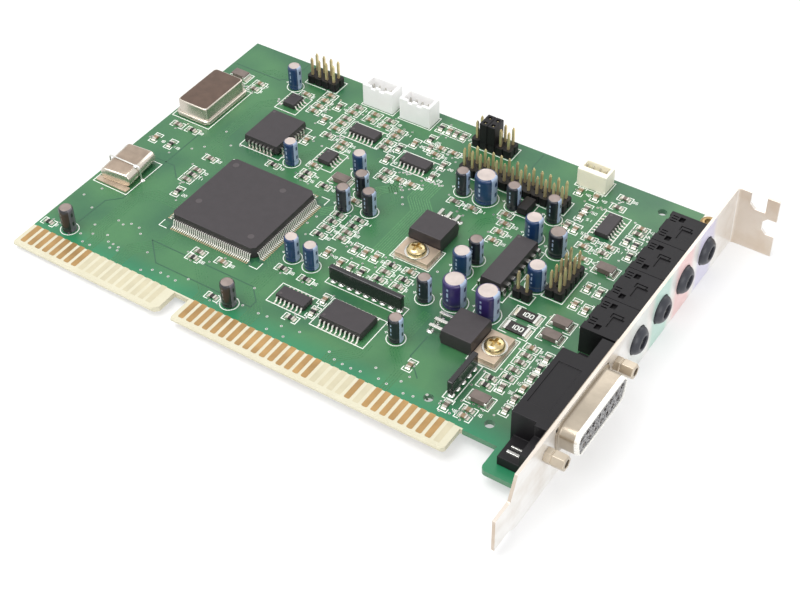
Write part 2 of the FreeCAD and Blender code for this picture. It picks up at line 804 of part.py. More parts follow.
def make_regulators():
    legs = []
    screws = []
    width = size("regulator_width")
    thickness = size("tab_thickness")
    height = size("leg_height")
    bend = size("leg_thickness")
    reach = size("leg_reach")
    shoulder = size("tab_length") + size("regulator_body")
    corners = [(0, height), (reach, height), (reach, 0), (reach - bend, 0), (reach - bend, height - bend),
               (0, height - bend)]
    points = [FreeCAD.Vector(shoulder + out, -size("leg_width") / 2, up) for out, up in corners]
    leg = Part.Face(Part.makePolygon(points + points[:1])).extrude(FreeCAD.Vector(0, size("leg_width"), 0))
    tab = block(0, -width / 2, 0, size("tab_length"), width, thickness)
    head = Part.makeCylinder(size("screw_head_radius"), size("screw_head_height"),
                             FreeCAD.Vector(size("screw_setback"), 0, thickness))
    for name, x, y, degrees in regulator_places:
        turn = math.radians(degrees)
        centre = size("tab_length") + size("regulator_body") / 2
        lengthwise = degrees % 180 == 0
        along = "regulator_body" if lengthwise else "regulator_width"
        across = "regulator_width" if lengthwise else "regulator_body"
        moulded_chip(name + "_regulator_body", round(x + centre * math.cos(turn), 4),
                     round(y + centre * math.sin(turn), 4), along, across, "0", "regulator_top")
        group(name + "_regulator_tab", [turned(tab, degrees, x, y)])
        legs += lead_row(leg, 3, size("leg_pitch"), degrees, x, y)
        screws.append(turned(head, degrees, x, y))
    group("regulator_legs", legs)
    group("regulator_screws", screws)


# Resistor networks: coated strips standing on a row of pins
network_places = [("long_network", -51.2, 25.9, 9, False), ("short_network", -4.7, 8.4, 5, True)]


def make_networks():
    pins = []
    for label, x, y, count, upright in network_places:
        length = "(%d * network_pitch + 2 * network_margin)" % (count - 1)
        rise = "network_top - network_bottom"
        if upright:
            strip = new_box(label, "%s - network_thickness / 2" % x, "%s - network_margin" % y,
                            "network_bottom", "network_thickness", length, rise)
        else:
            strip = new_box(label, "%s - network_margin" % x, "%s - network_thickness / 2" % y,
                            "network_bottom", length, "network_thickness", rise)
        as_node(strip, label)
        wide = size("network_pin_width")
        for step in range(count):
            shift = step * size("network_pitch")
            left, low = (x, y + shift) if upright else (x + shift, y)
            pins.append(block(left - wide / 2, low - wide / 2, 0, wide, wide, size("network_bottom")))
    group("network_pins", pins)


# Oscillator can, lying crystal and the wire strap over it
def make_timing():
    x, y = -124.7, 68.8
    body = new_body("oscillator_can")
    cover_height = "oscillator_height - oscillator_rim_height"
    tiers = (("rim", "0", "0", "oscillator_rim_height"),
             ("cover", "oscillator_rim", "oscillator_rim_height", cover_height))
    for name, inset, start, height in tiers:
        tier = new_sketch(body, "oscillator_" + name, "XY_Plane", start)
        draw_rectangle(tier, "%s - oscillator_width / 2 + %s" % (x, inset),
                       "%s - oscillator_length / 2 + %s" % (y, inset),
                       "%s + oscillator_width / 2 - %s" % (x, inset),
                       "%s + oscillator_length / 2 - %s" % (y, inset))
        add_pad(body, tier, height)
    cover_middle = (size("oscillator_rim_height") + size("oscillator_height")) / 2
    round_edges(body, "Fillet", lambda edge: runs_along(edge, "z", z=cover_middle), "oscillator_corner")

    x, y = -125.0, 25.6
    crystal = new_body("crystal_can")
    can = new_sketch(crystal, "crystal_section", "XZ_Plane", "-(%s + crystal_length)" % y)
    draw_rectangle(can, "%s - crystal_width / 2" % x, "crystal_standoff",
                   "%s + crystal_width / 2" % x, "crystal_height")
    add_pad(crystal, can, "crystal_length")
    round_edges(crystal, "Fillet", lambda edge: runs_along(edge, "y"), "crystal_edge")
    foot = new_sketch(crystal, "crystal_foot_plate", "XZ_Plane", "-(%s)" % y)
    draw_rectangle(foot, "%s - crystal_width / 2 - crystal_foot_rim" % x, "0",
                   "%s + crystal_width / 2 + crystal_foot_rim" % x, "crystal_foot_height")
    add_pad(crystal, foot, "crystal_foot")

    strap = new_body("crystal_strap")
    band = new_sketch(strap, "strap_band", "XZ_Plane", "-31.0")
    inner = "(crystal_width / 2 + strap_gap)"
    outer = "(%s + strap_thickness)" % inner
    above = "(crystal_height + strap_thickness)"
    draw_outline(band, [
        ("%s - %s" % (x, inner), "0"),
        ("%s - %s" % (x, inner), "crystal_height"),
        ("%s + %s" % (x, inner), "crystal_height"),
        ("%s + %s" % (x, inner), "0"),
        ("%s + %s + strap_foot" % (x, outer), "0"),
        ("%s + %s + strap_foot" % (x, outer), "strap_thickness"),
        ("%s + %s" % (x, outer), "strap_thickness"),
        ("%s + %s" % (x, outer), above),
        ("%s - %s" % (x, outer), above),
        ("%s - %s" % (x, outer), "0"),
    ])
    add_pad(strap, band, "strap_width")


# Electrolytic capacitors: places by sleeve colour, as x, y and the names of radius and height
small = ("capacitor_radius", "capacitor_height")
medium = ("medium_capacitor_radius", "capacitor_height")
large = ("large_capacitor_radius", "large_capacitor_height")
capacitor_places = {
    "blue_capacitors": [
        (-108.9, 88.5, small), (-88.9, 59.2, small), (-69.8, 65.1, small), (-65.3, 27.3, small),
        (-59.2, 27.2, small), (-35.0, 74.6, large), (-16.0, 67.4, medium), (-6.3, 51.9, medium),
        (-25.2, 46.3, medium),
    ],
    "black_capacitors": [
        (-64.3, 58.2, small), (-58.5, 53.1, small), (-65.4, 50.8, small), (-41.8, 73.8, small),
        (-27.0, 75.8, small), (-15.3, 76.8, small), (-8.0, 65.8, medium), (-24.4, 52.1, small),
        (-28.0, 32.8, small), (-26.2, 17.0, small),
    ],
    "brown_capacitors": [(-122.6, 4.6, small), (-68.8, 4.8, small)],
    "purple_capacitors": [(-20.7, 35.5, large), (-11.5, 36.3, large)],
}


def sleeve(x, y, radius, height):
    flats = int(size("sleeve_flats"))
    turn = 2 * math.pi / flats
    ring = [FreeCAD.Vector(x + radius * math.cos(step * turn), y + radius * math.sin(step * turn), 0)
            for step in range(flats)]
    return Part.Face(Part.makePolygon(ring + ring[:1])).extrude(FreeCAD.Vector(0, 0, height))


def make_capacitors():
    for label, places in capacitor_places.items():
        group(label, [sleeve(x, y, size(radius), size(height)) for x, y, (radius, height) in places])


# Surface mount chips: those whose long side runs along x, then those that run along y
capacitors_along_x = [
    (-118.6, 83.9), (-118.6, 81.0), (-103.9, 87.0), (-97.4, 90.3), (-97.4, 87.3), (-97.4, 84.3),
    (-97.4, 81.6), (-87.2, 89.8), (-87.2, 86.9), (-87.2, 83.7), (-87.2, 81.2), (-87.2, 78.2), (-87.2, 74.4),
    (-81.2, 89.7), (-81.2, 86.8), (-75.8, 89.4), (-75.8, 86.6), (-70.9, 86.7), (-70.9, 84.3), (-70.9, 80.9),
    (-70.9, 78.2), (-81.3, 73.9), (-81.3, 71.5), (-63.8, 69.9), (-63.8, 66.9), (-55.3, 68.7), (-41.4, 69.1),
    (-35.9, 69.1), (-26.9, 71.8), (-25.2, 68.4), (-24.9, 64.7), (-24.6, 61.0), (-2.9, 94.6), (-2.9, 90.3),
    (-3.4, 75.2), (-3.4, 71.6), (-1.1, 67.3), (2.6, 74.8), (2.2, 71.9), (6.5, 85.9), (6.5, 83.5),
]
capacitors_along_y = [
    (-92.3, 87.4), (-92.3, 79.9), (-91.2, 69.5), (-14.8, 91.2), (-9.9, 91.2), (-9.8, 85.4), (-9.8, 82.2),
    (-11.0, 76.8), (-8.4, 76.6), (5.3, 58.4), (8.6, 58.4), (5.3, 51.4), (8.6, 50.9), (-53.4, 39.0),
    (-50.3, 39.0), (-46.9, 39.0),
]
resistors_along_x = [
    (-126.9, 55.6), (-121.6, 55.6), (-109.2, 48.2), (-109.2, 42.2), (-109.2, 39.9), (-109.2, 37.5),
    (-92.6, 55.4), (-82.4, 57.6), (-82.4, 55.5), (-75.2, 55.4), (-64.9, 47.6), (-64.9, 44.6), (-64.9, 41.6),
    (-64.9, 38.4), (-58.9, 48.7), (-58.9, 45.8), (-58.9, 43.0), (-58.9, 40.2), (-65.0, 22.5), (-57.6, 22.3),
    (-87.3, 15.9), (-87.3, 13.3), (-79.8, 16.1), (-73.9, 4.4), (-41.8, 38.6), (-36.3, 39.0),
    (-41.8, 35.6), (-36.0, 35.6), (-41.8, 32.4), (-36.0, 32.6), (-52.5, 8.8), (-129.2, 3.7),
    (3.9, 32.0), (3.9, 29.1), (3.9, 26.3), (3.9, 23.3), (3.9, 20.4), (0.5, 18.0), (0.5, 15.4), (1.3, 6.4),
    (1.3, 4.1),
]
resistors_along_y = [
    (-128.3, 47.4), (-122.8, 47.4), (-107.9, 32.2), (-61.6, 94.6), (-58.9, 94.6), (-56.6, 94.5),
    (-54.2, 94.5), (-61.4, 88.5), (-64.3, 84.6), (-59.5, 85.2), (-52.2, 80.4), (-52.2, 74.6), (-67.1, 74.5),
    (-66.8, 80.5),
    (-53.6, 32.2), (-50.3, 32.2), (-46.9, 32.2), (-49.1, 18.9), (-49.0, 13.6), (-18.3, 11.2), (4.3, 17.0),
    (8.8, 31.0), (8.8, 27.2), (8.8, 23.4), (8.8, 19.4), (8.8, 15.2), (8.8, 11.2), (5.4, 79.6), (8.0, 79.2),
    (8.6, 74.6), (-4.0, 4.9), (-58.8, 33.8),
]
inductor_places = [(6.0, 66.5), (6.0, 43.2), (6.0, 37.9), (2.0, 10.6), (-72.4, 59.9), (-125.8, 83.9)]


def make_surface_mount():
    length = size("chip_length")
    width = size("chip_width")
    height = size("chip_height")
    for label, along_x, along_y in (("chip_capacitors", capacitors_along_x, capacitors_along_y),
                                    ("chip_resistors", resistors_along_x, resistors_along_y)):
        chips = [block(x - length / 2, y - width / 2, 0, length, width, height) for x, y in along_x]
        chips += [block(x - width / 2, y - length / 2, 0, width, length, height) for x, y in along_y]
        group(label, chips)
    length = size("wide_resistor_length")
    width = size("wide_resistor_width")
    strips = [block(-2.7 - length / 2, y - width / 2, 0, length, width, size("wide_resistor_height"))
              for y in (41.1, 35.8)]
    group("wide_resistors", strips)
    length = size("inductor_length")
    width = size("inductor_width")
    lumps = [block(x - length / 2, y - width / 2, 0, length, width, size("inductor_height"))
             for x, y in inductor_places]
    group("chip_inductors", lumps)
    choke = new_box("choke_block", "-23.4 - choke_width / 2", "76.6 - choke_length / 2", "0", "choke_width",
                    "choke_length", "choke_height")
    as_node(choke, "choke_block")


make_board()
make_contacts()
make_bracket()
make_jacks()
make_game_port()
make_headers()
make_plugs()
make_main_chip()
make_memory_chip()
make_small_chips()
make_amplifier()
make_regulators()
make_networks()
make_timing()
make_capacitors()
make_surface_mount()
doc.recompute()

# Every object has to be sound before anything is written
for thing in doc.Objects:
    if "Invalid" in thing.State or "Error" in thing.State:
        raise RuntimeError("%s failed: %s" % (thing.Name, thing.State))
for node in nodes:
    if node.Shape.isNull() or not node.Shape.isValid():
        raise RuntimeError("%s has no valid shape" % node.Label)

os.makedirs("parts", exist_ok=True)
for node in nodes:
    node.Shape.exportStep("parts/%s.step" % node.Label)
print("%d nodes written" % len(nodes))
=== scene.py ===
import bmesh
import bpy
import json
import math
import random
from mathutils import Matrix, Vector


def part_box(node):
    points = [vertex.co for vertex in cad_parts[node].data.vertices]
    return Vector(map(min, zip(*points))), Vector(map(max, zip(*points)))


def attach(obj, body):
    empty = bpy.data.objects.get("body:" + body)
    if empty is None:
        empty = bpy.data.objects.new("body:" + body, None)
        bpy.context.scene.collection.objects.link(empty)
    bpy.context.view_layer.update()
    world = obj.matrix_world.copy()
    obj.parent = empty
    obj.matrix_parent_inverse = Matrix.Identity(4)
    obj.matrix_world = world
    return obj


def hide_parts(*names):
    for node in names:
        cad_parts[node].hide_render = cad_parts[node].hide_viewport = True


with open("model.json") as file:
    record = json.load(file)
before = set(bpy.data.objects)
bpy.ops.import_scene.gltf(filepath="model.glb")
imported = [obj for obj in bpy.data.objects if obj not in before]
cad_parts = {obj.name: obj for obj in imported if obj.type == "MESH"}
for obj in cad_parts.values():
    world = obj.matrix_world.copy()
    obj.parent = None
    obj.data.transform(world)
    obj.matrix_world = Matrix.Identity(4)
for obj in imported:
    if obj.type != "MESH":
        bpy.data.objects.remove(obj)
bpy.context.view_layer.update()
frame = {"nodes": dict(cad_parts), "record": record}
mm = 0.001
chance = random.Random(7)  # one seeded source for every small variation
print("frame loaded:", len(frame["nodes"]), "nodes")


# Shader sums
class Wire:
    def __init__(self, shading, socket):
        self.shading = shading
        self.socket = socket

    def sum(self, operation, first, second=0.0):
        return self.shading.node("ShaderNodeMath", {"operation": operation}, {0: first, 1: second})

    def __add__(self, other):
        return self.sum("ADD", self, other)

    def __radd__(self, other):
        return self.sum("ADD", other, self)

    def __sub__(self, other):
        return self.sum("SUBTRACT", self, other)

    def __rsub__(self, other):
        return self.sum("SUBTRACT", other, self)

    def __mul__(self, other):
        return self.sum("MULTIPLY", self, other)

    def __lt__(self, other):
        return self.sum("LESS_THAN", self, other)

    def __gt__(self, other):
        return self.sum("GREATER_THAN", self, other)

    def __abs__(self):
        return self.sum("ABSOLUTE", self)

    def sine(self):
        return self.sum("SINE", self)

    def atLeast(self, other):
        return self.sum("MAXIMUM", self, other)

    def stepped(self, low, high):  # 0 below low, 1 above high, straight between
        return self.shading.node("ShaderNodeMapRange", {"clamp": True}, {0: self, 1: low, 2: high})


class Shading:
    def __init__(self, tree):
        self.tree = tree

    def node(self, kind, settings=None, sockets=None, output=0):
        made = self.tree.nodes.new(kind)
        for key, value in (settings or {}).items():
            setattr(made, key, value)
        for key, value in (sockets or {}).items():
            self.join(made.inputs[key], value)
        return Wire(self, made.outputs[output])

    def join(self, socket, value):
        if isinstance(value, Wire):
            self.tree.links.new(value.socket, socket)
        else:
            socket.default_value = value


class Finish(Shading):
    def __init__(self, name):
        self.material = bpy.data.materials.new(name)
        self.material.use_nodes = True
        super().__init__(self.material.node_tree)
        self.shader = self.tree.nodes["Principled BSDF"]
        self.place = self.node("ShaderNodeTexCoord", output="Object")

    def axes(self, vector):
        split = self.node("ShaderNodeSeparateXYZ", {}, {0: vector}).socket.node
        return [Wire(self, split.outputs[axis]) for axis in "XYZ"]

    def noise(self, scale, detail=2.0, stretch=(1, 1, 1)):  # scale counts blotches in a metre
        vector = self.place
        if stretch != (1, 1, 1):
            vector = self.node("ShaderNodeVectorMath", {"operation": "MULTIPLY"}, {0: self.place, 1: stretch})
        return self.node("ShaderNodeTexNoise", {}, {"Vector": vector, "Scale": scale, "Detail": detail})

    def blend(self, first, second, amount):
        return self.node("ShaderNodeMix", {"data_type": "RGBA"}, {0: amount, 6: first, 7: second}, 2)

    def bump(self, height, strength, depth):
        return self.node("ShaderNodeBump", {}, {"Strength": strength, "Distance": depth, "Height": height})

    def put(self, **values):
        for name, value in values.items():
            self.join(self.shader.inputs[name.replace("_", " ")], value)


def ink(red, green, blue):  # screen colour, 0 to 255, as the shader wants it
    def straight(value):
        share = value / 255
        return share / 12.92 if share <= 0.04045 else ((share + 0.055) / 1.055) ** 2.4
    return (straight(red), straight(green), straight(blue), 1.0)


def shade(colour, share):
    return tuple(min(1.0, channel * share) for channel in colour[:3]) + (1.0,)


# Finishes
def coat(name, colour, rough, metal=0.0, mottle=0.14, grain=1400, depth=0.01, **constants):
    finish = Finish(name)
    cloud = finish.noise(grain * 0.15).stepped(0.3, 0.7)
    fine = finish.noise(grain, 3.0)
    finish.put(Base_Color=finish.blend(shade(colour, 1 - mottle), shade(colour, 1 + mottle), cloud),
               Roughness=rough * 0.8 + fine * (rough * 0.4), Metallic=metal,
               Normal=finish.bump(fine, 0.35, depth * mm), **constants)
    return finish.material


boardColours = {
    "maskBright": ink(66, 121, 74), "maskDeep": ink(38, 95, 62), "edge": ink(70, 128, 92),
    "lowEdge": ink(14, 128, 88), "lowFade": (0.5 * mm, 7 * mm), "bareLight": ink(214, 210, 188),
    "bareDark": ink(200, 194, 168), "bareTop": 0.85 * mm, "bareNear": 3.2 * mm, "weave": 7000,
}


def makeSolderMask():
    finish = Finish("solder_mask")
    x, y = finish.axes(finish.place)[:2]
    normal = finish.axes(finish.node("ShaderNodeTexCoord", output="Normal"))
    plan = boardColours
    copper = finish.noise(55, 1.0).stepped(0.38, 0.62)
    fine = finish.noise(700, 3.0)
    green = finish.blend(plan["maskDeep"], plan["maskBright"], copper * 0.75 + fine * 0.25)
    green = finish.blend(plan["lowEdge"], green, y.stepped(*plan["lowFade"]) * 0.7 + 0.3)
    weave = ((x * plan["weave"]).sine() * (y * plan["weave"]).sine()) * 0.5 + 0.5
    cream = finish.blend(plan["bareDark"], plan["bareLight"], weave * 0.12 + finish.noise(180) * 0.88)
    flat = abs(normal[2]) > 0.6
    skin = finish.blend(plan["edge"], green, flat)
    bare = (y < plan["bareTop"]) * (x < plan["bareNear"])
    finish.put(Base_Color=finish.blend(skin, cream, bare), Roughness=0.3 + bare * 0.25 + fine * 0.1,
               Coat_Roughness=0.25, Coat_Weight=(1 - bare) * 0.25, Normal=finish.bump(weave, 0.1, 0.01 * mm))
    return finish.material


# the tan flange colour is painted shade and reflection on the same plated steel
bracketColours = {"steel": ink(248, 247, 245), "dull": ink(220, 212, 202), "flange": ink(206, 188, 168),
                  "labelFade": (3.54 * mm, 5.9 * mm), "labelShare": 0.65,
                  "labels": [ink(200, 196, 232), ink(240, 184, 184), ink(150, 208, 192), ink(216, 222, 218)]}


def makeBracketSteel():
    plan = bracketColours
    finish = Finish("plated_bracket_steel")
    y = finish.axes(finish.place)[1]
    normal = finish.axes(finish.node("ShaderNodeTexCoord", output="Normal"))
    streak = finish.noise(900, 4.0, (1, 0.06, 1))
    stain = finish.noise(120, 4.0).stepped(0.42, 0.75)
    colour = finish.blend(plan["steel"], plan["dull"], stain * 0.6 + streak * 0.3)
    outside = normal[0] > 0.6
    # painted shade and reflection: faces turned to -y (the flange) and upward faces are tinted tan
    shadedFlange = (0 - normal[1]).stepped(0.5, 0.8)
    colour = finish.blend(colour, plan["flange"], shadedFlange * (stain * 0.3 + 0.7))
    colour = finish.blend(colour, plan["flange"], normal[2].stepped(0.6, 0.9) * 0.55)
    printed = 0.0
    sockets = [mount["pos_m"] for mount in frame["record"]["mounts"] if mount["kind"] == "bore"]
    for place, label in zip(sockets, plan["labels"]):
        field = outside * (1 - abs(y - place[1]).stepped(*plan["labelFade"]))
        colour = finish.blend(colour, label, field * plan["labelShare"])
        printed = field + printed
    finish.put(Base_Color=colour, Metallic=0.8 - outside * 0.2 - printed * 0.5,
               Roughness=0.27 + streak * 0.12 + stain * 0.1,
               Normal=finish.bump(streak, 0.15, 0.004 * mm))
    return finish.material


def makeInsulatorGrain():
    finish = Finish("speckled_insulator")
    speck = finish.noise(2300, 2.0).stepped(0.42, 0.6)
    finish.put(Base_Color=finish.blend(ink(72, 72, 76), ink(178, 177, 176), speck), Roughness=0.55,
               Normal=finish.bump(speck, 0.4, 0.03 * mm))
    return finish.material


def makeSleeve(name, colour):
    finish = Finish(name)
    z = finish.axes(finish.place)[2]
    wrap = (z * 5200).sine() * 0.5 + 0.5
    cloud = finish.noise(420, 2.0)
    finish.put(Base_Color=finish.blend(shade(colour, 0.75), shade(colour, 1.35), cloud), Coat_Weight=0.35,
               Roughness=0.24 + cloud * 0.14, Coat_Roughness=0.12,
               Normal=finish.bump(wrap * 0.2 + cloud, 0.12, 0.02 * mm))
    return finish.material


solderMask = makeSolderMask()
bracketSteel = makeBracketSteel()
insulatorGrain = makeInsulatorGrain()
traceMask = coat("masked_copper_trace", ink(76, 133, 84), 0.28, mottle=0.08, Coat_Weight=0.25)
faintMask = coat("masked_copper_under", ink(58, 114, 70), 0.28, mottle=0.08, Coat_Weight=0.25)
# dark bare board for the copper gaps, also used as painted shadow under the main chip's leads
gapAndShadowMask = coat("bare_board_and_painted_lead_shadow", ink(38, 88, 62), 0.32, mottle=0.08, Coat_Weight=0.25)
bareBand = coat("bare_contact_place", ink(196, 188, 160), 0.5, mottle=0.06)
silkInk = coat("white_board_ink", ink(236, 240, 232), 0.6, mottle=0.05)
tinPlate = coat("tin_plate", ink(214, 212, 206), 0.26, 0.9, grain=2200)
brightTin = coat("solder_tin", ink(226, 225, 220), 0.2, 0.85, grain=1800, depth=0.02)
goldPlate = coat("gold_contact_plate", ink(176, 140, 90), 0.34, 0.5, mottle=0.16)
pinGold = coat("gilt_pin", ink(226, 208, 158), 0.24, 0.6, mottle=0.15)
blackMoulding = coat("black_moulding", ink(20, 18, 21), 0.46, depth=0.02, mottle=0.12, Specular_IOR_Level=0.3)
glossBlack = coat("black_dipped_coat", ink(22, 21, 24), 0.18, mottle=0.2, grain=500, Coat_Weight=0.4)
chipMoulding = coat("chip_moulding", ink(50, 45, 48), 0.46, mottle=0.08, grain=3200, depth=0.015)
chipDimple = coat("chip_dimple", ink(74, 68, 70), 0.3, mottle=0.06)
nylonGlow = {"Subsurface_Weight": 0.4, "Subsurface_Scale": 0.001, "Subsurface_Radius": (1, 1, 1)}
whiteNylon = coat("white_nylon", ink(253, 252, 251), 0.4, mottle=0.02, **nylonGlow)
creamNylon = coat("cream_nylon", ink(253, 245, 226), 0.42, mottle=0.03, **nylonGlow)
drawnCan = coat("drawn_can", ink(206, 198, 186), 0.24, 0.9, mottle=0.08, grain=700)
crystalTop = coat("worn_crystal_top", ink(158, 141, 125), 0.36, 0.5, mottle=0.12, grain=2600, depth=0.02)
canTop = coat("worn_can_top", ink(92, 73, 62), 0.45, 0.25, mottle=0.12, grain=2600, depth=0.02)
sleeveStripe = coat("sleeve_stripe", ink(160, 178, 204), 0.3, mottle=0.1, Coat_Weight=0.3)
dimStripe = coat("dim_sleeve_stripe", ink(96, 92, 100), 0.3, mottle=0.2, Coat_Weight=0.3)
sleeveTop = coat("capacitor_top", ink(202, 190, 184), 0.4, 0.5, mottle=0.1, grain=2400, depth=0.02)
dullTop = coat("dull_capacitor_top", ink(150, 136, 130), 0.42, 0.4, mottle=0.14, grain=2400, depth=0.02)
ceramicTan = coat("tan_ceramic", ink(140, 118, 92), 0.4, mottle=0.22, grain=2600)
ceramicGrey = coat("grey_ceramic", ink(104, 94, 84), 0.4, mottle=0.2, grain=2600)
resistorGlaze = coat("resistor_glaze", ink(38, 34, 33), 0.3, mottle=0.2)
ferriteGrey = coat("grey_ferrite", ink(112, 100, 94), 0.5, mottle=0.15, grain=3000)
portSteel = coat("nickelled_port_steel", ink(172, 161, 145), 0.34, 0.75, mottle=0.1, grain=1600, depth=0.03)
postSteel = coat("jackscrew_steel", ink(198, 186, 168), 0.3, 0.8, mottle=0.1)
# painted highlight: the rim is the same drawn steel as the shell, made near-white
rimHighlight = coat("port_rim_painted_highlight", ink(250, 248, 242), 0.28, 0.5, mottle=0.05)
jackNose = coat("slate_jack_nose", ink(52, 54, 62), 0.34, mottle=0.12, depth=0.02)
tabMetal = coat("dull_tab_metal", ink(190, 172, 152), 0.4, 0.65, mottle=0.14, grain=1800)
leadTin = coat("bright_lead_tin", ink(240, 237, 230), 0.32, 0.45, mottle=0.05)
tanPad = coat("tan_lead_pad", ink(184, 164, 130), 0.4, 0.3, mottle=0.12)
chipEnd = coat("chip_end_tin", ink(206, 202, 192), 0.3, 0.75, mottle=0.12, grain=2600)
padSolder = coat("flat_pad_solder", ink(200, 196, 184), 0.34, 0.7, mottle=0.15, grain=1800, depth=0.02)
screwBrass = coat("brassy_screw", ink(204, 184, 138), 0.24, 0.9, mottle=0.12)
eyeletBrass = coat("eyelet_brass", ink(176, 148, 104), 0.3, 0.9, mottle=0.2)
# painted shade: a near-black fill standing in for the shade inside the via holes
paintedHoleShade = coat("painted_hole_shade", ink(16, 16, 17), 0.7, mottle=0.2)
sleeves = {
    "blue_capacitors": makeSleeve("blue_sleeve", ink(22, 52, 92)),
    "black_capacitors": makeSleeve("black_sleeve", ink(24, 27, 38)),
    "brown_capacitors": makeSleeve("brown_sleeve", ink(22, 20, 24)),
    "purple_capacitors": makeSleeve("violet_sleeve", ink(48, 36, 92)),
}
print("finishes ready:", len(bpy.data.materials))


# Mesh making, in millimetres
class Mould:
    def __init__(self):
        self.points = []
        self.faces = []
        self.inks = []

    def add(self, points, faces, tone=0):
        start = len(self.points)
        self.points += [tuple(point) for point in points]
        self.faces += [[start + corner for corner in face] for face in faces]
        self.inks += [tone] * len(faces)

    def block(self, low, high, tone=0, taper=0.0):
        (x0, y0, z0), (x1, y1, z1) = low, high
        self.loft([[(x0, y0, z0), (x1, y0, z0), (x1, y1, z0), (x0, y1, z0)],
                   [(x0 + taper, y0 + taper, z1), (x1 - taper, y0 + taper, z1),
                    (x1 - taper, y1 - taper, z1), (x0 + taper, y1 - taper, z1)]], tone)

    def slab(self, outline, low, high):
        self.loft([[(x, y, z) for x, y in outline] for z in (low, high)])

    def loft(self, rings, tone=0, capped=True):  # rings of as many points each, closed at both ends
        count = len(rings[0])
        faces = [tuple(range(count))[::-1]] if capped else []
        for level in range(len(rings) - 1):
            for step in range(count):
                after = (step + 1) % count
                faces.append((level * count + step, level * count + after,
                              (level + 1) * count + after, (level + 1) * count + step))
        if capped:
            faces.append(tuple(range((len(rings) - 1) * count, len(rings) * count)))
        self.add([point for ring in rings for point in ring], faces, tone)

    def lathe(self, centre, profile, count, along="z", toneAt=None):  # profile: radius, height
        def spot(radius, height, step):
            turn = 2 * math.pi * step / count
            across, up = radius * math.cos(turn), radius * math.sin(turn)
            local = (across, up, height) if along == "z" else (height, across, up)
            return tuple(base + offset for base, offset in zip(centre, local))
        for band in range(len(profile) - 1):
            (r0, h0), (r1, h1) = profile[band:band + 2]
            for step in range(count):
                corners = [spot(r0, h0, step), spot(r0, h0, step + 1),
                           spot(r1, h1, step + 1), spot(r1, h1, step)]
                if r0 == 0:
                    corners = [corners[0]] + corners[2:]
                elif r1 == 0:
                    corners = corners[:3]
                self.add(corners, [tuple(range(len(corners)))], toneAt(band, step) if toneAt else 0)

    def ribbon(self, path, width, low, high, closed=False):  # a flat line with mitred corners
        left, right = (shifted(path, offset, closed) for offset in (width / 2, -width / 2))
        for step in range(len(path) if closed else len(path) - 1):
            after = (step + 1) % len(path)
            self.slab([right[step], right[after], left[after], left[step]], low, high)

    def strip(self, start, heading, path, width, thickness):  # a bent metal strip, path: out, up
        aside = Vector((-heading.y, heading.x)) * (width / 2)
        rings = []
        for (out, up), side in zip(path, mitres(path, least=0.5)):
            lift = side * (thickness / 2)
            ring = []
            for edge, face in ((-1, -1), (1, -1), (1, 1), (-1, 1)):
                spot = start + heading * (out + face * lift.x) + aside * edge
                ring.append((spot.x, spot.y, up + face * lift.y))
            rings.append(ring)
        self.loft(rings)

    def tube(self, path, radius, count=10):
        rings = []
        for step, spot in enumerate(path):
            ahead = Vector(path[min(step + 1, len(path) - 1)]) - Vector(path[max(step - 1, 0)])
            side = ahead.cross(Vector((0, 1, 0))).normalized()
            third = ahead.normalized().cross(side)
            rings.append([Vector(spot) + side * (radius * math.cos(turn)) + third * (radius * math.sin(turn))
                          for turn in (2 * math.pi * index / count for index in range(count))])
        self.loft(rings)

    def mesh(self, name):
        made = bpy.data.meshes.new(name)
        made.from_pydata([Vector(point) * mm for point in self.points], [], self.faces)
        made.polygons.foreach_set("material_index", self.inks)
        solid = bmesh.new()
        solid.from_mesh(made)
        bmesh.ops.remove_doubles(solid, verts=solid.verts, dist=1e-8)
        bmesh.ops.recalc_face_normals(solid, faces=solid.faces)
        solid.to_mesh(made)
        solid.free()
        return made

    def cast(self, name, finishes, slot, replaced=(), bevel=0.0):
        settle(name, self.mesh(name), finishes, replaced, bevel)


creaseAngle = math.radians(35)


def settle(name, mesh, finishes, replaced=(), bevel=0.0):
    if mesh.materials:  # clearing also resets the faces, so only a copied mesh is cleared
        mesh.materials.clear()
    for finish in finishes:
        mesh.materials.append(finish)
    mesh.polygons.foreach_set("use_smooth", [True] * len(mesh.polygons))
    mesh.set_sharp_from_angle(angle=creaseAngle)
    piece = bpy.data.objects.new(name, mesh)
    bpy.context.scene.collection.objects.link(piece)
    if bevel:
        softenEdges(piece, bevel)
    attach(piece, "root")
    if replaced:
        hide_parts(*replaced)


def softenEdges(piece, width):
    bevel = piece.modifiers.new("soft edges", "BEVEL")
    bevel.width = width * mm
    bevel.segments = 2
    bevel.limit_method = "ANGLE"
    bevel.angle_limit = creaseAngle
    bevel.harden_normals = True


def joined(mesh, flatten=False):  # split faces welded again, and flat ones run together
    solid = bmesh.new()
    solid.from_mesh(mesh)
    bmesh.ops.remove_doubles(solid, verts=solid.verts, dist=1e-6)
    if flatten:
        bmesh.ops.dissolve_limit(solid, angle_limit=math.radians(0.5), verts=solid.verts, edges=solid.edges)
    solid.to_mesh(mesh)
    solid.free()
    return mesh


def carved(mesh, cutter):  # the mesh less everything in the cutter
    blank = bpy.data.objects.new("blank", mesh)
    tool = bpy.data.objects.new("tool", cutter.mesh("tool"))
    for thing in (blank, tool):
        bpy.context.scene.collection.objects.link(thing)
    cut = blank.modifiers.new("cut", "BOOLEAN")
    cut.object = tool
    cut.solver = "EXACT"
    cut.use_self = True
    mesh = bpy.data.meshes.new_from_object(blank.evaluated_get(bpy.context.evaluated_depsgraph_get()))
    for thing in (blank, tool):
        bpy.data.objects.remove(thing)
    return mesh


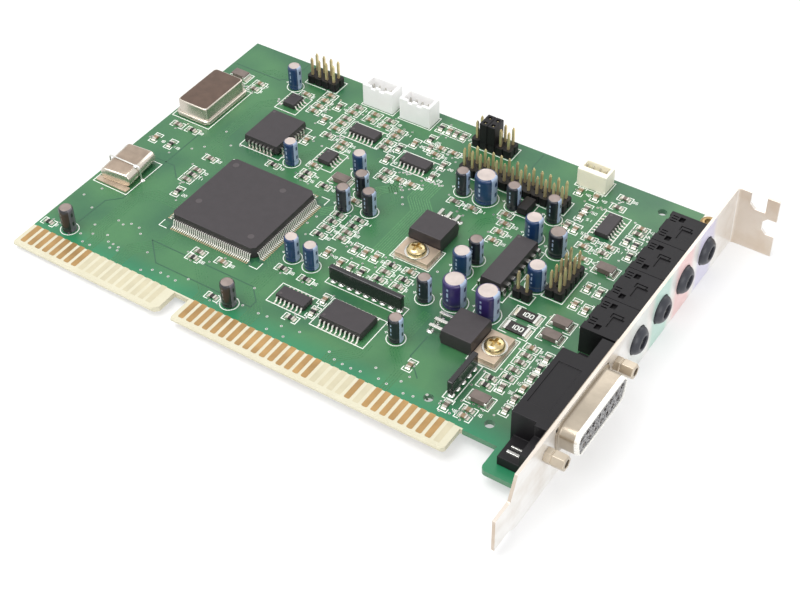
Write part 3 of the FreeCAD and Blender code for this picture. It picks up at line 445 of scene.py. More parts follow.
def shell(node, finish, bevel=0.12, cutter=None):  # a node as its own softened piece
    mesh = joined(frame["nodes"][node].data.copy())
    if cutter:
        mesh = carved(mesh, cutter)
    joined(mesh, True)
    if mesh.attributes.get("custom_normal"):
        mesh.attributes.remove(mesh.attributes["custom_normal"])
    mesh.name = node + "_finished"
    settle(mesh.name, mesh, [finish], [node], bevel)


def islands(node):  # the separate solids of a node, as lists of corners in millimetres
    solid = bmesh.new()
    solid.from_mesh(frame["nodes"][node].data)
    bmesh.ops.remove_doubles(solid, verts=solid.verts, dist=1e-6)
    solid.verts.ensure_lookup_table()
    seen = set()
    found = []
    for start in solid.verts:
        if start.index in seen:
            continue
        seen.add(start.index)
        group = [start]
        for corner in group:
            for edge in corner.link_edges:
                other = edge.other_vert(corner)
                if other.index not in seen:
                    seen.add(other.index)
                    group.append(other)
        found.append([corner.co / mm for corner in group])
    solid.free()
    return found


def extents(corners):
    return [Vector(pick(corner[axis] for corner in corners) for axis in range(3)) for pick in (min, max)]


def solids(node):  # the lowest and highest corners of each solid
    return [extents(corners) for corners in islands(node)]


def nodeBox(node):
    return [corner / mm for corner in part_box(node)]


def middleOf(low, high):
    return (low.x + high.x) / 2, (low.y + high.y) / 2


def drum(radius, height):  # a plain cylinder's profile
    return [(0, 0), (radius, 0), (radius, height), (0, height)]


def mitres(path, closed=False, least=0.4):  # the left-hand side of each point, drawn out at a bend
    count = len(path)
    sides = []
    for step in range(count):
        runs = [Vector(b - a for a, b in zip(path[index], path[(index + 1) % count])).normalized()
                for index in (step - 1, step) if closed or 0 <= index < count - 1]
        run = sum(runs, Vector((0, 0))).normalized()
        sides.append(Vector((-run.y, run.x)) / max(least, run.dot(runs[0])))
    return sides


def shifted(path, offset, closed=False):  # the same route, moved to its left
    return [(x + side.x * offset, y + side.y * offset) for (x, y), side in zip(path, mitres(path, closed))]


def roundRing(centre, length, width, radius, height, steps=5):  # a rounded rectangle at one height
    ring = []
    for quarter, (sideX, sideY) in enumerate(((1, 1), (-1, 1), (-1, -1), (1, -1))):
        for step in range(steps + 1):
            turn = math.pi / 2 * (quarter + step / steps)
            ring.append((centre[0] + sideX * (length / 2 - radius) + radius * math.cos(turn),
                         centre[1] + sideY * (width / 2 - radius) + radius * math.sin(turn), height))
    return ring


def softCorners(corners, radius, steps=5):  # an outline drawn to the left, with rounded corners
    ring = []
    for index, corner in enumerate(corners):
        spot = Vector(corner)
        runs = [(spot - Vector(corners[index - 1])).normalized(),
                (Vector(corners[(index + 1) % len(corners)]) - spot).normalized()]
        first, last = [Vector((run.y, -run.x)) for run in runs]
        centre = spot - (first + last) * (radius / (1 + first.dot(last)))
        start = math.atan2(first.y, first.x)
        sweep = math.atan2(first.x * last.y - first.y * last.x, first.dot(last))
        for step in range(steps + 1):
            turn = start + sweep * step / steps
            ring.append((centre.x + radius * math.cos(turn), centre.y + radius * math.sin(turn)))
    return ring


# Marks on the board: each piece adds its own outline, pads and pins to these
marks = {"sunk": -0.02, "silkHigh": 0.045, "silkWidth": 0.25, "padHigh": 0.035, "traceHigh": 0.02,
         "backFace": -1.6, "bracketReach": 0.3, "digitStep": 0.95, "digitWidth": 0.6, "digitLine": 0.2}
# gaps holds the dark copper gaps and also the painted shadow under the main chip's leads
silk, pads, tanPads, blobs, gaps = (Mould() for index in range(5))
throughPins = []
digitStrokes = {"0": "abcdef", "1": "bc", "2": "abged", "3": "abgcd", "4": "fgbc", "5": "afgcd",
                "6": "afgedc", "7": "abc", "8": "abcdefg", "9": "abcdfg"}
strokeEnds = {"a": (0, 2, 1, 2), "b": (1, 2, 1, 1), "c": (1, 1, 1, 0), "d": (0, 0, 1, 0), "e": (0, 1, 0, 0),
              "f": (0, 2, 0, 1), "g": (0, 1, 1, 1)}


def inkLine(path, closed=False):
    silk.ribbon(path, marks["silkWidth"], marks["sunk"], marks["silkHigh"], closed)


def inkBox(low, high, grow):
    inkLine([(low[0] - grow, low[1] - grow), (high[0] + grow, low[1] - grow),
             (high[0] + grow, high[1] + grow), (low[0] - grow, high[1] + grow)], True)


def inkCircle(x, y, radius, count=28):
    turns = [2 * math.pi * step / count for step in range(count)]
    inkLine([(x + radius * math.cos(turn), y + radius * math.sin(turn)) for turn in turns], True)


def inkBrackets(low, high, along, across):  # a pair of square brackets round a small part
    lies = high.x - low.x >= high.y - low.y
    main, side = (0, 1) if lies else (1, 0)
    first, last = low[main] - along, high[main] + along
    near, far = low[side] - across, high[side] + across
    for end, inward in ((first, 1), (last, -1)):
        bend = end + inward * (last - first) * marks["bracketReach"]
        path = [(bend, near), (end, near), (end, far), (bend, far)]
        inkLine(path if lies else [(x, y) for y, x in path])


def inkNumber(number, x, y, height, mould=silk, low=marks["sunk"], high=marks["silkHigh"]):
    for place, digit in enumerate(str(number)):
        for stroke in digitStrokes[digit]:
            x0, y0, x1, y1 = strokeEnds[stroke]
            path = [(x + height * (place * marks["digitStep"] + across * marks["digitWidth"]),
                     y + height * up / 2) for across, up in ((x0, y0), (x1, y1))]
            mould.ribbon(path, height * marks["digitLine"], low, high)


def addPad(low, high, grow):  # a flat pad under a foot
    pads.block((low.x - grow, low.y - grow, marks["sunk"]), (high.x + grow, high.y + grow, marks["padHigh"]))


def solderPin(x, y, profile):  # a blob above the board and a joint below it
    blobs.lathe((x, y, marks["sunk"]), profile, 16)
    throughPins.append((x, y))


def addPin(mould, low, high, tip, taper):  # a square pin with a pointed end
    (x0, y0, z0), (x1, y1, z1) = low, high
    mould.block(low, (x1, y1, z1 - tip))
    mould.block((x0, y0, z1 - tip), high, 0, taper)


# Board with its drilled holes: x, y, radius, depth
board = {"under": -3, "corners": ((-83.2, 1.9), (2.6, 1.4)), "spare": 0.1,
         "holes": [(8.0, 95.2, 1.3, 6), (-8.8, 4.7, 1.3, 6), (7.7, 5.4, 1.3, 6), (20.6, 97.0, 1.5, 3.4)]}


def makeBoard():
    under, spare = board["under"], board["spare"]
    drill = Mould()
    for x, y, radius, depth in board["holes"]:
        drill.lathe((x, y, under), drum(radius, depth), 28)
    low = nodeBox("pcb")[0].y
    for x, size in board["corners"]:
        drill.slab([(x - size, low - spare), (x + spare, low - spare), (x + spare, low + size)], under, 1)
    shell("pcb", solderMask, 0.0, drill)
    print("board drilled")


# Edge contacts, with each row's first and last place and where it starts
contacts = {"tip": 0.25, "thickness": 0.06, "pitch": 2.54, "width": 1.6,
            "rows": ((-31, 0, 0.0), (-18, 0, -86.8))}


def makeContacts():
    front, back, bare = Mould(), Mould(), Mould()
    tip, thick, half = contacts["tip"], contacts["thickness"], contacts["width"] / 2
    sunk, backFace = marks["sunk"], marks["backFace"]
    fingers = solids("gold_contacts")
    for low, high in fingers:
        outline = [(low.x + tip, low.y), (high.x - tip, low.y), (high.x, low.y + tip), (high.x, high.y),
                   (low.x, high.y), (low.x, low.y + tip)]
        front.slab(outline, sunk, thick)
        back.slab(outline, backFace - thick, backFace - sunk)
    foot, head = (corner.y for corner in nodeBox("gold_contacts"))
    used = [middleOf(low, high)[0] for low, high in fingers]
    for first, last, start in contacts["rows"]:
        for index in range(first + 1, last + 1):
            x = start + index * contacts["pitch"]
            if min(abs(x - place) for place in used) > half / 2:
                bare.block((x - half, foot, sunk), (x + half, head, -sunk))
    bare.cast("bare_contact_places", [bareBand], "solder_mask")
    front.cast("edge_contacts", [goldPlate], "gold", ["gold_contacts"])
    back.cast("solder_side_contacts", [goldPlate], "gold")
    print("contacts plated")


# Copper under the mask, in bundles that bend by half right angles
copper = {
    "width": 0.3, "pitch": 0.68, "plain": 2,
    "bundles": [
        ([(-46.8, 33.5), (-46.8, 61.0), (-50.6, 65.0), (-50.6, 73.0)], 9),
        ([(-70.0, 46.0), (-61.5, 54.5), (-61.5, 62.0), (-57.0, 66.5)], 5),
        ([(-104.5, 47.0), (-112.5, 55.0), (-112.5, 76.0), (-108.5, 80.0)], 5),
        ([(-103.0, 28.0), (-112.0, 28.0), (-116.0, 24.0), (-116.0, 8.0), (-114.0, 6.0), (-114.0, 1.2)], 6),
        ([(-97.0, 19.0), (-97.0, 14.0), (-103.5, 7.5), (-103.5, 1.2)], 6),
        ([(-84.0, 18.5), (-84.0, 12.0), (-76.5, 4.5), (-76.5, 1.2)], 5),
        ([(-71.0, 26.0), (-67.0, 22.0), (-67.0, 11.5), (-61.5, 6.0), (-61.5, 1.2)], 6),
        ([(-31.5, 12.0), (-31.5, 8.0), (-36.0, 3.5), (-36.0, 1.2)], 6),
        ([(-24.5, 29.0), (-24.5, 13.5), (-19.5, 8.5), (-19.5, 1.2)], 4),
        ([(-76.0, 50.0), (-68.0, 58.0), (-68.0, 73.0), (-62.0, 79.0)], 5),
        ([(-90.0, 52.5), (-90.0, 62.0), (-84.0, 68.0), (-84.0, 76.0)], 4),
        ([(-111.0, 91.0), (-119.0, 91.0), (-121.5, 88.5), (-121.5, 81.0)], 4),
        ([(-31.0, 60.5), (-31.0, 66.0), (-27.5, 69.5)], 4),
        ([(-10.0, 60.0), (-10.0, 72.0), (-6.5, 75.5), (-6.5, 88.0)], 4),
        ([(-51.5, 46.0), (-55.0, 49.5), (-55.0, 61.0), (-59.0, 65.0), (-59.0, 72.5)], 4),
        ([(-33.0, 30.5), (-29.5, 27.0), (-29.5, 20.0)], 4),
    ],
    "gaps": [
        [(-118.9, 58.0), (-118.9, 22.0), (-122.3, 18.6), (-122.6, 8.0)],
        [(-101.0, 13.0), (-67.5, 13.0), (-63.5, 9.0), (-63.5, 6.6), (-94.5, 6.6), (-101.0, 13.0)],
        [(-43.5, 62.0), (-43.5, 45.0), (-40.0, 41.5)],
        [(-20.0, 22.0), (-20.0, 14.0), (-14.5, 8.5)],
        [(-131.0, 40.5), (-116.0, 40.5), (-112.0, 36.5)],
        [(-131.0, 88.6), (-115.0, 88.6), (-112.0, 91.6), (-112.0, 99.6)],
        [(-31.0, 99.8), (-31.0, 93.0), (-27.0, 89.0)],
    ],
    "vias": [
        (-126.4, 22.0), (-128.9, 17.4), (-123.4, 14.4), (-113.7, 14.2), (-111.6, 13.6), (-109.9, 15.0),
        (-107.1, 14.9), (-105.2, 13.2), (-118.0, 9.5), (-116.0, 6.4), (-112.3, 8.1), (-110.4, 6.2),
        (-108.5, 4.6), (-106.7, 5.9), (-98.9, 8.5), (-66.8, 12.7), (-57.0, 63.5), (-54.5, 63.0),
        (-52.8, 60.6), (-38.8, 66.0), (-36.6, 65.4), (-42.8, 41.5), (-30.5, 43.0), (-30.0, 58.0),
        (-33.4, 47.4), (-71.4, 36.2), (-70.2, 40.6), (-69.6, 44.0), (-108.0, 56.0), (-105.6, 57.4),
        (-114.0, 51.6), (-116.5, 49.0), (-113.0, 60.4), (-86.0, 69.6), (-76.6, 69.0),
    ],
    "viaRadius": 0.36, "viaHole": 0.15, "viaHigh": 0.05, "tailVia": 0.3, "stagger": 0.5, "gapWidth": 0.34,
    "contactReach": 2, "edgeStart": -129.0, "edgePitch": 2.54, "edgeCount": 52, "edgeLow": 2.2,
    "edgeSpread": 4.0, "edgeSkip": 0.25, "keyGap": (-82.0, -78.0), "tailLeast": 0.9, "tailSpread": 1.1,
    "tailArea": ((-130.5, 1.5), (11.5, 99.4)), "backArea": ((-130.0, 2.0), (22.0, 99.0)),
    "backAlong": (1.2, -100, 0.2), "backAcross": (0.42, 62), "backSpread": 1.1,
}


def addVia(mould, x, y, radius=copper["viaRadius"], faces=(0, marks["backFace"])):
    hole = copper["viaHole"]
    for face in faces:
        high = copper["viaHigh"] if face == 0 else -copper["viaHigh"]
        profile = [(0, high * 1.1), (hole, high * 1.1), (hole, high), (radius, high), (radius, 0)]
        # the flat disc over each hole gets the second finish, painted hole shade
        mould.lathe((x, y, face), profile, 12, toneAt=lambda band, step: 1 if band < 2 else 0)


def turnedOver(path, start):  # a route of the far side, made from one of the near side
    along, across, (low, high) = copper["backAlong"], copper["backAcross"], copper["backArea"]
    spots = [(y * along[0] + along[1] + start * along[2], across[1] + x * across[0]) for x, y in path]
    return [(max(low[0], min(high[0], x)), max(low[1], min(high[1], y))) for x, y in spots]


def makeCopper():
    plan = copper
    lines, faint, vias, backLines = (Mould() for index in range(4))
    width, sunk, high, back = plan["width"], marks["sunk"], marks["traceHigh"], marks["backFace"]
    spread = random.Random(11)
    for number, (path, count) in enumerate(plan["bundles"]):
        for index in range(count):
            offset = (index - (count - 1) / 2) * plan["pitch"]
            route = shifted(path, offset)
            (lines if number < plan["plain"] else faint).ribbon(route, width, sunk, high)
            x, y = route[-1]
            if y > plan["contactReach"]:  # the others run into a contact
                addVia(vias, x, y - (plan["stagger"] if index % 2 else 0.0), faces=(0,))
            far = turnedOver(shifted(path, offset * plan["backSpread"]), path[0][0])
            backLines.ribbon(far, width, back - high, back - sunk)
    for path in plan["gaps"]:
        gaps.ribbon(path, plan["gapWidth"], sunk, high * 1.2)
    for x, y in plan["vias"]:
        addVia(vias, x, y)
    gapStart, gapEnd = plan["keyGap"]
    for index in range(plan["edgeCount"]):
        x = plan["edgeStart"] + index * plan["edgePitch"]
        y = plan["edgeLow"] + spread.random() * plan["edgeSpread"]
        if not (gapStart < x < gapEnd or spread.random() < plan["edgeSkip"]):
            addVia(vias, x, y)
    (left, low), (right, top) = plan["tailArea"]
    for x, y in routes:  # short tails from small parts to a via
        turn = spread.choice((-1, 1))
        reach = plan["tailLeast"] + spread.random() * plan["tailSpread"]
        end = (x + turn * reach, y + spread.choice((-1, 1)) * reach)
        if left < end[0] < right and low < end[1] < top:
            faint.ribbon([(x, y), end], width, sunk, high)
            addVia(vias, *end, plan["tailVia"])
    lines.cast("copper_traces", [traceMask], "solder_mask")
    faint.cast("faint_copper_traces", [faintMask], "solder_mask")
    backLines.cast("solder_side_traces", [traceMask], "solder_mask")
    vias.cast("plated_vias", [brightTin, paintedHoleShade], "tin")
    print("copper laid")


# Small surface mount parts
smallParts = {"endShare": 0.24, "swell": 0.03, "padReach": 0.5, "padGrow": 0.08, "inkAlong": 1.1,
              "inkAcross": 0.55, "fillet": ((0.0, 0.5), (0.35, 0.22), (1.0, 0.05)), "filletReach": 0.9,
              "size": (2.0, 1.25, 0.55), "share": {"chip_capacitors": 0.6, "chip_resistors": 0.4},
              "more": [(-59.3, 68.7), (-82.8, 61.3), (-64.5, 54.6),
                       (-56.8, 86.6), (-56.8, 83.4), (-52.6, 86.6)],
              "greyShare": 0.9, "digits": 0.9, "digitsAway": 1.3, "digitsDrift": 0.4}
routes = []


def addEnds(mould, low, high, share):  # the two metal ends, their solder and pads
    plan = smallParts
    swell = plan["swell"]
    axis = 0 if high.x - low.x >= high.y - low.y else 1
    reach = (high[axis] - low[axis]) * share
    for side in (0, 1):
        near, far = low.copy(), high.copy()
        if side:
            near[axis] = high[axis] - reach
        else:
            far[axis] = low[axis] + reach
        mould.block((near.x - swell, near.y - swell, 0), (far.x + swell, far.y + swell, high.z + swell), 1)
        outer = high[axis] if side else low[axis]
        grow = plan["padReach"] * (1 if side else -1)
        base, tip = near.copy(), far.copy()
        base[axis], tip[axis] = sorted((outer, outer + grow))
        addPad(base, tip, plan["padGrow"])
        rings = []
        for step, lift in plan["fillet"]:
            ring = []
            for across, up in ((base, 0), (tip, 0), (tip, 1), (base, 1)):
                corner = Vector((0, 0, high.z * lift if up else marks["sunk"] / 2))
                corner[axis] = outer + grow * plan["filletReach"] * step
                corner[1 - axis] = across[1 - axis]
                ring.append(tuple(corner))
            rings.append(ring)
        pads.loft(rings)
        x, y = middleOf(near, far)
        routes.append((x, y + grow) if axis else (x + grow, y))


def makeSmallParts():
    plan = smallParts
    number = 1
    kinds = (("chip_capacitors", "ceramic_chips", ceramicTan, "ceramic_tan"),
             ("chip_resistors", "chip_resistor_bodies", resistorGlaze, "resistor_black"))
    for node, name, finish, slot in kinds:
        mould = Mould()
        boxes = solids(node)
        if node == "chip_capacitors":
            half = Vector(plan["size"]) / 2
            middles = [Vector((x, y, half.z)) for x, y in plan["more"]]
            boxes += [(middle - half, middle + half) for middle in middles]
        for low, high in boxes:
            kind = chance.random()
            mould.block(low, high, 0 if kind < plan["share"][node] else 2 if kind < plan["greyShare"] else 3)
            addEnds(mould, low, high, plan["endShare"])
            inkBrackets(low, high, plan["inkAlong"], plan["inkAcross"])
            number += 1
            if number % 5:  # every fifth has no number
                inkNumber(number % 90 + 2, high.x + plan["digitsAway"],
                          low.y + chance.random() * plan["digitsDrift"], plan["digits"])
        mould.cast(name, [finish, chipEnd, ceramicGrey, ceramicTan], slot, [node], 0.05)
    print("small parts placed:", number - 1)


largeParts = {"valueHeight": 1.35, "valueCode": "100", "valueHalf": 1.25, "valueDepth": 0.02, "wideEnd": 0.11,
              "lumpEnd": 0.14, "lumpFoot": 0.1, "lumpTaper": 0.12, "lumpEndHigh": 0.75,
              "wideInk": (0.9, 0.8), "lumpInk": (0.9, 0.7), "chokeInk": 0.6}


def makeLargeParts():
    plan = largeParts
    wide, values, lumps = Mould(), Mould(), Mould()
    size, depth = plan["valueHeight"], plan["valueDepth"]
    for low, high in solids("wide_resistors"):
        wide.block(low, high)
        addEnds(wide, low, high, plan["wideEnd"])
        inkBrackets(low, high, *plan["wideInk"])
        x, y = middleOf(low, high)
        inkNumber(plan["valueCode"], x - size * plan["valueHalf"], y - size / 2, size, values,
                  high.z - depth, high.z + depth)
    wide.cast("wide_resistor_bodies", [resistorGlaze, brightTin], "resistor_black", ["wide_resistors"], 0.06)
    values.cast("wide_resistor_values", [silkInk], "resistor_black")
    for low, high in solids("chip_inductors"):
        lumps.block((low.x, low.y, plan["lumpFoot"]), (high.x, high.y, high.z), 0, plan["lumpTaper"])
        addEnds(lumps, Vector((low.x, low.y, 0)), Vector((high.x, high.y, high.z * plan["lumpEndHigh"])),
                plan["lumpEnd"])
        inkBrackets(low, high, *plan["lumpInk"])
    lumps.cast("inductor_bodies", [ferriteGrey, brightTin], "black_moulding", ["chip_inductors"], 0.12)
    shell("choke_block", blackMoulding, 0.2)
    inkBox(*nodeBox("choke_block"), plan["chokeInk"])
    print("large resistors and inductors placed")


# Chips and their leads
leadShape = {"shoulder": 0.2, "drop": 0.52, "thickness": 0.16, "padGrow": 0.6, "padWider": 1.1, "lift": 0.03,
             "headAbove": 0.6, "toeBelow": 0.3, "root": -0.1}


def leadFrame(corners):  # where a lead leaves its body, which way it goes, how far and how high
    height = extents(corners)[1].z
    head = [corner for corner in corners if corner.z > height * leadShape["headAbove"]]
    toe = [corner for corner in corners if corner.z < height * leadShape["toeBelow"]]
    start = sum(head, Vector()) / len(head)
    run = (sum(toe, Vector()) / len(toe) - start).xy
    return start.xy, run.normalized(), run.length, height


def makeGullLeads(node, name, width, finish, under):
    mould = Mould()
    plan = leadShape
    thick = plan["thickness"]
    foot = thick / 2 + plan["lift"]
    for corners in islands(node):
        start, heading, reach, height = leadFrame(corners)
        path = [(plan["root"], height - thick), (reach * plan["shoulder"], height - thick),
                (reach * plan["drop"], foot), (reach, foot)]
        mould.strip(start, heading, path, width, thick)
        far = start + heading * (reach + plan["padGrow"])
        near = start + heading * (reach * plan["drop"])
        under.ribbon([tuple(near), tuple(far)], width * plan["padWider"], marks["sunk"], marks["padHigh"])
    mould.cast(name, [finish], "tin", [node])


# Leads that curl under a body, and leads with a wide shoulder and a thin tail
bentLeads = {"curl": ((-0.3, 0.0), (0.12, 0.0), (0.2, -0.2)),
             "under": [(0.2, 0.45), (0.02, 0.14), (-0.35, 0.12)], "curlWidth": 0.6, "curlThick": 0.2,
             "padBack": 0.6, "padAhead": 0.8, "padWidth": 0.7, "shoulder": 0.7, "below": 0.2, "fall": 0.6,
             "shoulderFoot": 1.0, "shoulderWidth": 1.3, "tail": (1.1, -0.1), "tailWidth": 0.5, "thick": 0.26}


def makeBentLeads():  # the memory chip's leads curl under, the amplifier's go through the board
    plan = bentLeads
    curled, straight = Mould(), Mould()
    low, high = nodeBox("memory_chip_body")
    half = (high - low) / 2
    for near, far in solids("memory_chip_leads"):
        spot = Vector(middleOf(near, far))
        away = spot - Vector(middleOf(low, high))
        across = abs(away.x) - half.x > abs(away.y) - half.y
        heading = Vector((math.copysign(1, away.x), 0) if across else (0, math.copysign(1, away.y)))
        path = [(out, far.z + up) for out, up in plan["curl"]] + plan["under"]
        curled.strip(spot, heading, path, plan["curlWidth"], plan["curlThick"])
        pad = [tuple(spot - heading * plan["padBack"]), tuple(spot + heading * plan["padAhead"])]
        pads.ribbon(pad, plan["padWidth"], marks["sunk"], marks["padHigh"])
    curled.cast("memory_chip_curled_leads", [tinPlate], "tin", ["memory_chip_leads"])
    for corners in islands("amplifier_leads"):
        start, heading, reach, height = leadFrame(corners)
        top = height - plan["below"]
        shoulder = [(leadShape["root"], top), (reach * plan["shoulder"], top), (reach, height - plan["fall"]),
                    (reach, plan["shoulderFoot"])]
        straight.strip(start, heading, shoulder, plan["shoulderWidth"], plan["thick"])
        straight.strip(start, heading, [(reach, up) for up in plan["tail"]], plan["tailWidth"], plan["thick"])
        throughPins.append(tuple(start + heading * reach))
    straight.cast("amplifier_pins", [tinPlate], "tin", ["amplifier_leads"])


chips = {"main": "main_chip_body", "outlines": {"amplifier_body": 1.3, "memory_chip_body": 1.1},
         "others": ["memory_chip_body", "clock_chip_body", "switch_chip_body", "buffer_chip_body",
                    "gate_chip_body", "opamp_chip_body", "logic_chip_body", "codec_chip_body",
                    "amplifier_body"],
         "outline": 1.75, "dimple": 0.42, "dimpleInset": 1.0, "mainDimple": 0.9, "cornerAway": 2.4,
         "cornerRun": 2.6, "padReach": 2.3, "leadShadowLift": 0.012, "mainLead": 0.32, "smallLead": 0.42,
         "mainDimples": ((0, 2.6, 1, -2.6), (0, 3.4, 0, 8.0), (1, -4.0, 0, 4.0), (1, -8.0, 1, -4.5))}


def makeChips():
    plan = chips
    dimples = Mould()

    def press(x, y, top, size):  # a shallow round dimple
        profile = [(0, 0.004), (size * 0.8, 0.004), (size, 0.012), (size, -0.02), (0, -0.02)]
        dimples.lathe((x, y, top), profile, 20)

    shell(plan["main"], chipMoulding, 0.1)
    low, high = nodeBox(plan["main"])
    for right, x, upper, y in plan["mainDimples"]:
        press((low, high)[right].x + x, (low, high)[upper].y + y, high.z, plan["mainDimple"])
    for node in plan["others"]:
        shell(node, chipMoulding, 0.1)
        near, far = nodeBox(node)
        inset = plan["dimpleInset"]
        lies = far.x - near.x > far.y - near.y
        press(near.x + inset, near.y + inset if lies else far.y - inset, far.z, plan["dimple"])
        inkBox(near, far, plan["outlines"].get(node, plan["outline"]))
    dimples.cast("chip_mould_dimples", [chipDimple], "chip_moulding")
    away, run, reach = plan["cornerAway"], plan["cornerRun"], plan["padReach"]
    for sideX, sideY in ((-1, -1), (1, -1), (-1, 1), (1, 1)):
        x = (low.x if sideX < 0 else high.x) + sideX * away
        y = (low.y if sideY < 0 else high.y) + sideY * away
        inkLine([(x - sideX * run, y), (x, y), (x, y - sideY * run)])
    makeGullLeads("main_chip_leads", "main_chip_gull_leads", plan["mainLead"], leadTin, tanPads)
    makeGullLeads("small_chip_leads", "small_chip_gull_leads", plan["smallLead"], leadTin, pads)
    # dark strips of painted shadow on the board under the main chip's four lead rows
    for near, far in (((low.x - reach, low.y), (low.x, high.y)), ((high.x, low.y), (high.x + reach, high.y)),
                      ((low.x, low.y - reach), (high.x, low.y)), ((low.x, high.y), (high.x, high.y + reach))):
        gaps.block((*near, marks["sunk"]), (*far, plan["leadShadowLift"]))
    makeBentLeads()
    print("chips placed")


# Regulators with their screws and heat pads
regulators = {"names": ("first", "second"), "headRadius": 2.7, "washerRadius": 3.3, "washerHeight": 0.35,
              "padGrow": 0.55, "inkGrow": 0.9, "slots": ((1.6, 0.42), (0.42, 1.6)), "slotDepth": 1.0,
              "footBelow": 0.2, "head": ((1, 0), (1, 0.3), (0.92, 0.62), (0.7, 0.87), (0.35, 0.98), (0, 1)),
              "blob": ((0, 0), (1.0, 0), (0.9, 0.12), (0.4, 0.4), (0, 0.5))}


def makeRegulators():
    plan = regulators
    washers, heads, crosses = Mould(), Mould(), Mould()
    for low, high in solids("regulator_screws"):
        x, y = middleOf(low, high)
        radius, seat = plan["headRadius"], low.z + plan["washerHeight"]
        washers.lathe((x, y, low.z), drum(plan["washerRadius"], plan["washerHeight"]), 32)
        profile = [(0, 0)] + [(radius * out, (high.z - seat) * up) for out, up in plan["head"]]
        heads.lathe((x, y, seat), profile, 32)
        for length, width in plan["slots"]:
            crosses.block((x - length, y - width, high.z - plan["slotDepth"]),
                          (x + length, y + width, high.z + 0.5))
    washers.cast("regulator_washers", [tinPlate], "tin", bevel=0.08)
    settle("regulator_screw_heads", carved(heads.mesh("heads"), crosses), [screwBrass],
           ["regulator_screws"])
    for name in plan["names"]:
        shell(name + "_regulator_body", chipMoulding, 0.15)
        shell(name + "_regulator_tab", tabMetal, 0.12)
        low, high = nodeBox(name + "_regulator_tab")
        addPad(low, high, plan["padGrow"])
        inkBox(low, high, plan["inkGrow"])
    shell("regulator_legs", tinPlate, 0.06)
    for corners in islands("regulator_legs"):
        foot = extents([corner for corner in corners if corner.z < plan["footBelow"]])
        solderPin(*middleOf(*foot), plan["blob"])
    print("regulators bolted down")


# Connectors along the upper edge and on the board
headers = {"bases": ["aux_header_base", "jumper_header_base", "wave_header_base", "speaker_header_base",
                     "link_header_base"], "pitch": 2.54, "notch": 0.45, "tip": 0.7, "taper": 0.2, "root": 0.3,
           "ink": 0.45}


def makeHeaders():
    bases, pins = Mould(), Mould()
    notch, pitch = headers["notch"], headers["pitch"]
    for node in headers["bases"]:
        low, high = nodeBox(node)
        for column in range(round((high.x - low.x) / pitch)):
            for row in range(round((high.y - low.y) / pitch)):
                x0, y0 = low.x + column * pitch, low.y + row * pitch
                x1, y1 = x0 + pitch, y0 + pitch
                bases.slab([(x0 + notch, y0), (x1 - notch, y0), (x1, y0 + notch), (x1, y1 - notch),
                            (x1 - notch, y1), (x0 + notch, y1), (x0, y1 - notch), (x0, y0 + notch)],
                           0.0, high.z)
        inkBox(low, high, headers["ink"])
    bases.cast("header_bases", [blackMoulding], "black_moulding", headers["bases"])
    for low, high in solids("header_pins"):
        addPin(pins, (low.x, low.y, low.z - headers["root"]), high, headers["tip"], headers["taper"])
        throughPins.append(middleOf(low, high))
    pins.cast("square_header_pins", [pinGold], "pin_metal", ["header_pins"])
    shell("jumper_caps", blackMoulding, 0.12)
    print("headers placed")


# Plugs, with how far their pins stand aside and below the rim
plugs = {"cd_audio_plug": (whiteNylon, "white_moulding", 0, 0.9),
         "aux_audio_plug": (whiteNylon, "white_moulding", 0, 0.9),
         "telephone_plug": (creamNylon, "cream_moulding", 0.45, 0.1)}
plugPin = {"pitch": 2.0, "half": 0.25, "foot": 1.2, "tip": 0.5, "taper": 0.15, "ink": 0.35}


def makePlugs():
    pins = Mould()
    half = plugPin["half"]
    for node, (finish, slot, aside, below) in plugs.items():
        shell(node, finish, 0.18)
        low, high = nodeBox(node)
        middle, y = middleOf(low, high)
        y, top = y + aside, high.z - below
        for index in range(4):
            x = middle + (index - 1.5) * plugPin["pitch"]
            addPin(pins, (x - half, y - half, plugPin["foot"]), (x + half, y + half, top), plugPin["tip"],
                   plugPin["taper"])
            throughPins.append((x, y))
        inkBox(low, high, plugPin["ink"])
    pins.cast("plug_pins", [tinPlate], "tin")
    print("plugs placed")


# Round capacitors in their sleeves: shares of the radius, and heights from the foot or the top
capacitors = {"segments": 36, "stripeHalf": 30, "dashHalf": 10, "dashes": (7, 8, 12, 13), "leadGap": 1.0,
              "marks": (8, 10, 11, 13), "markTurn": (260, 275), "circleGrow": 0.5, "plusAway": 1.3,
              "plusHalf": 0.45, "side": (0.99, 1.6, -0.75, 10),
              "brightTops": ("blue_capacitors", "purple_capacitors"),
              "foot": ((0, 0.0), (0.93, 0.0), (0.985, 0.25), (0.985, 0.9), (0.945, 1.15), (0.945, 1.35)),
              "crown": ((0.965, -0.42), (0.9, -0.16), (0.83, -0.03), (0.79, 0), (0.76, -0.12), (0, -0.14))}


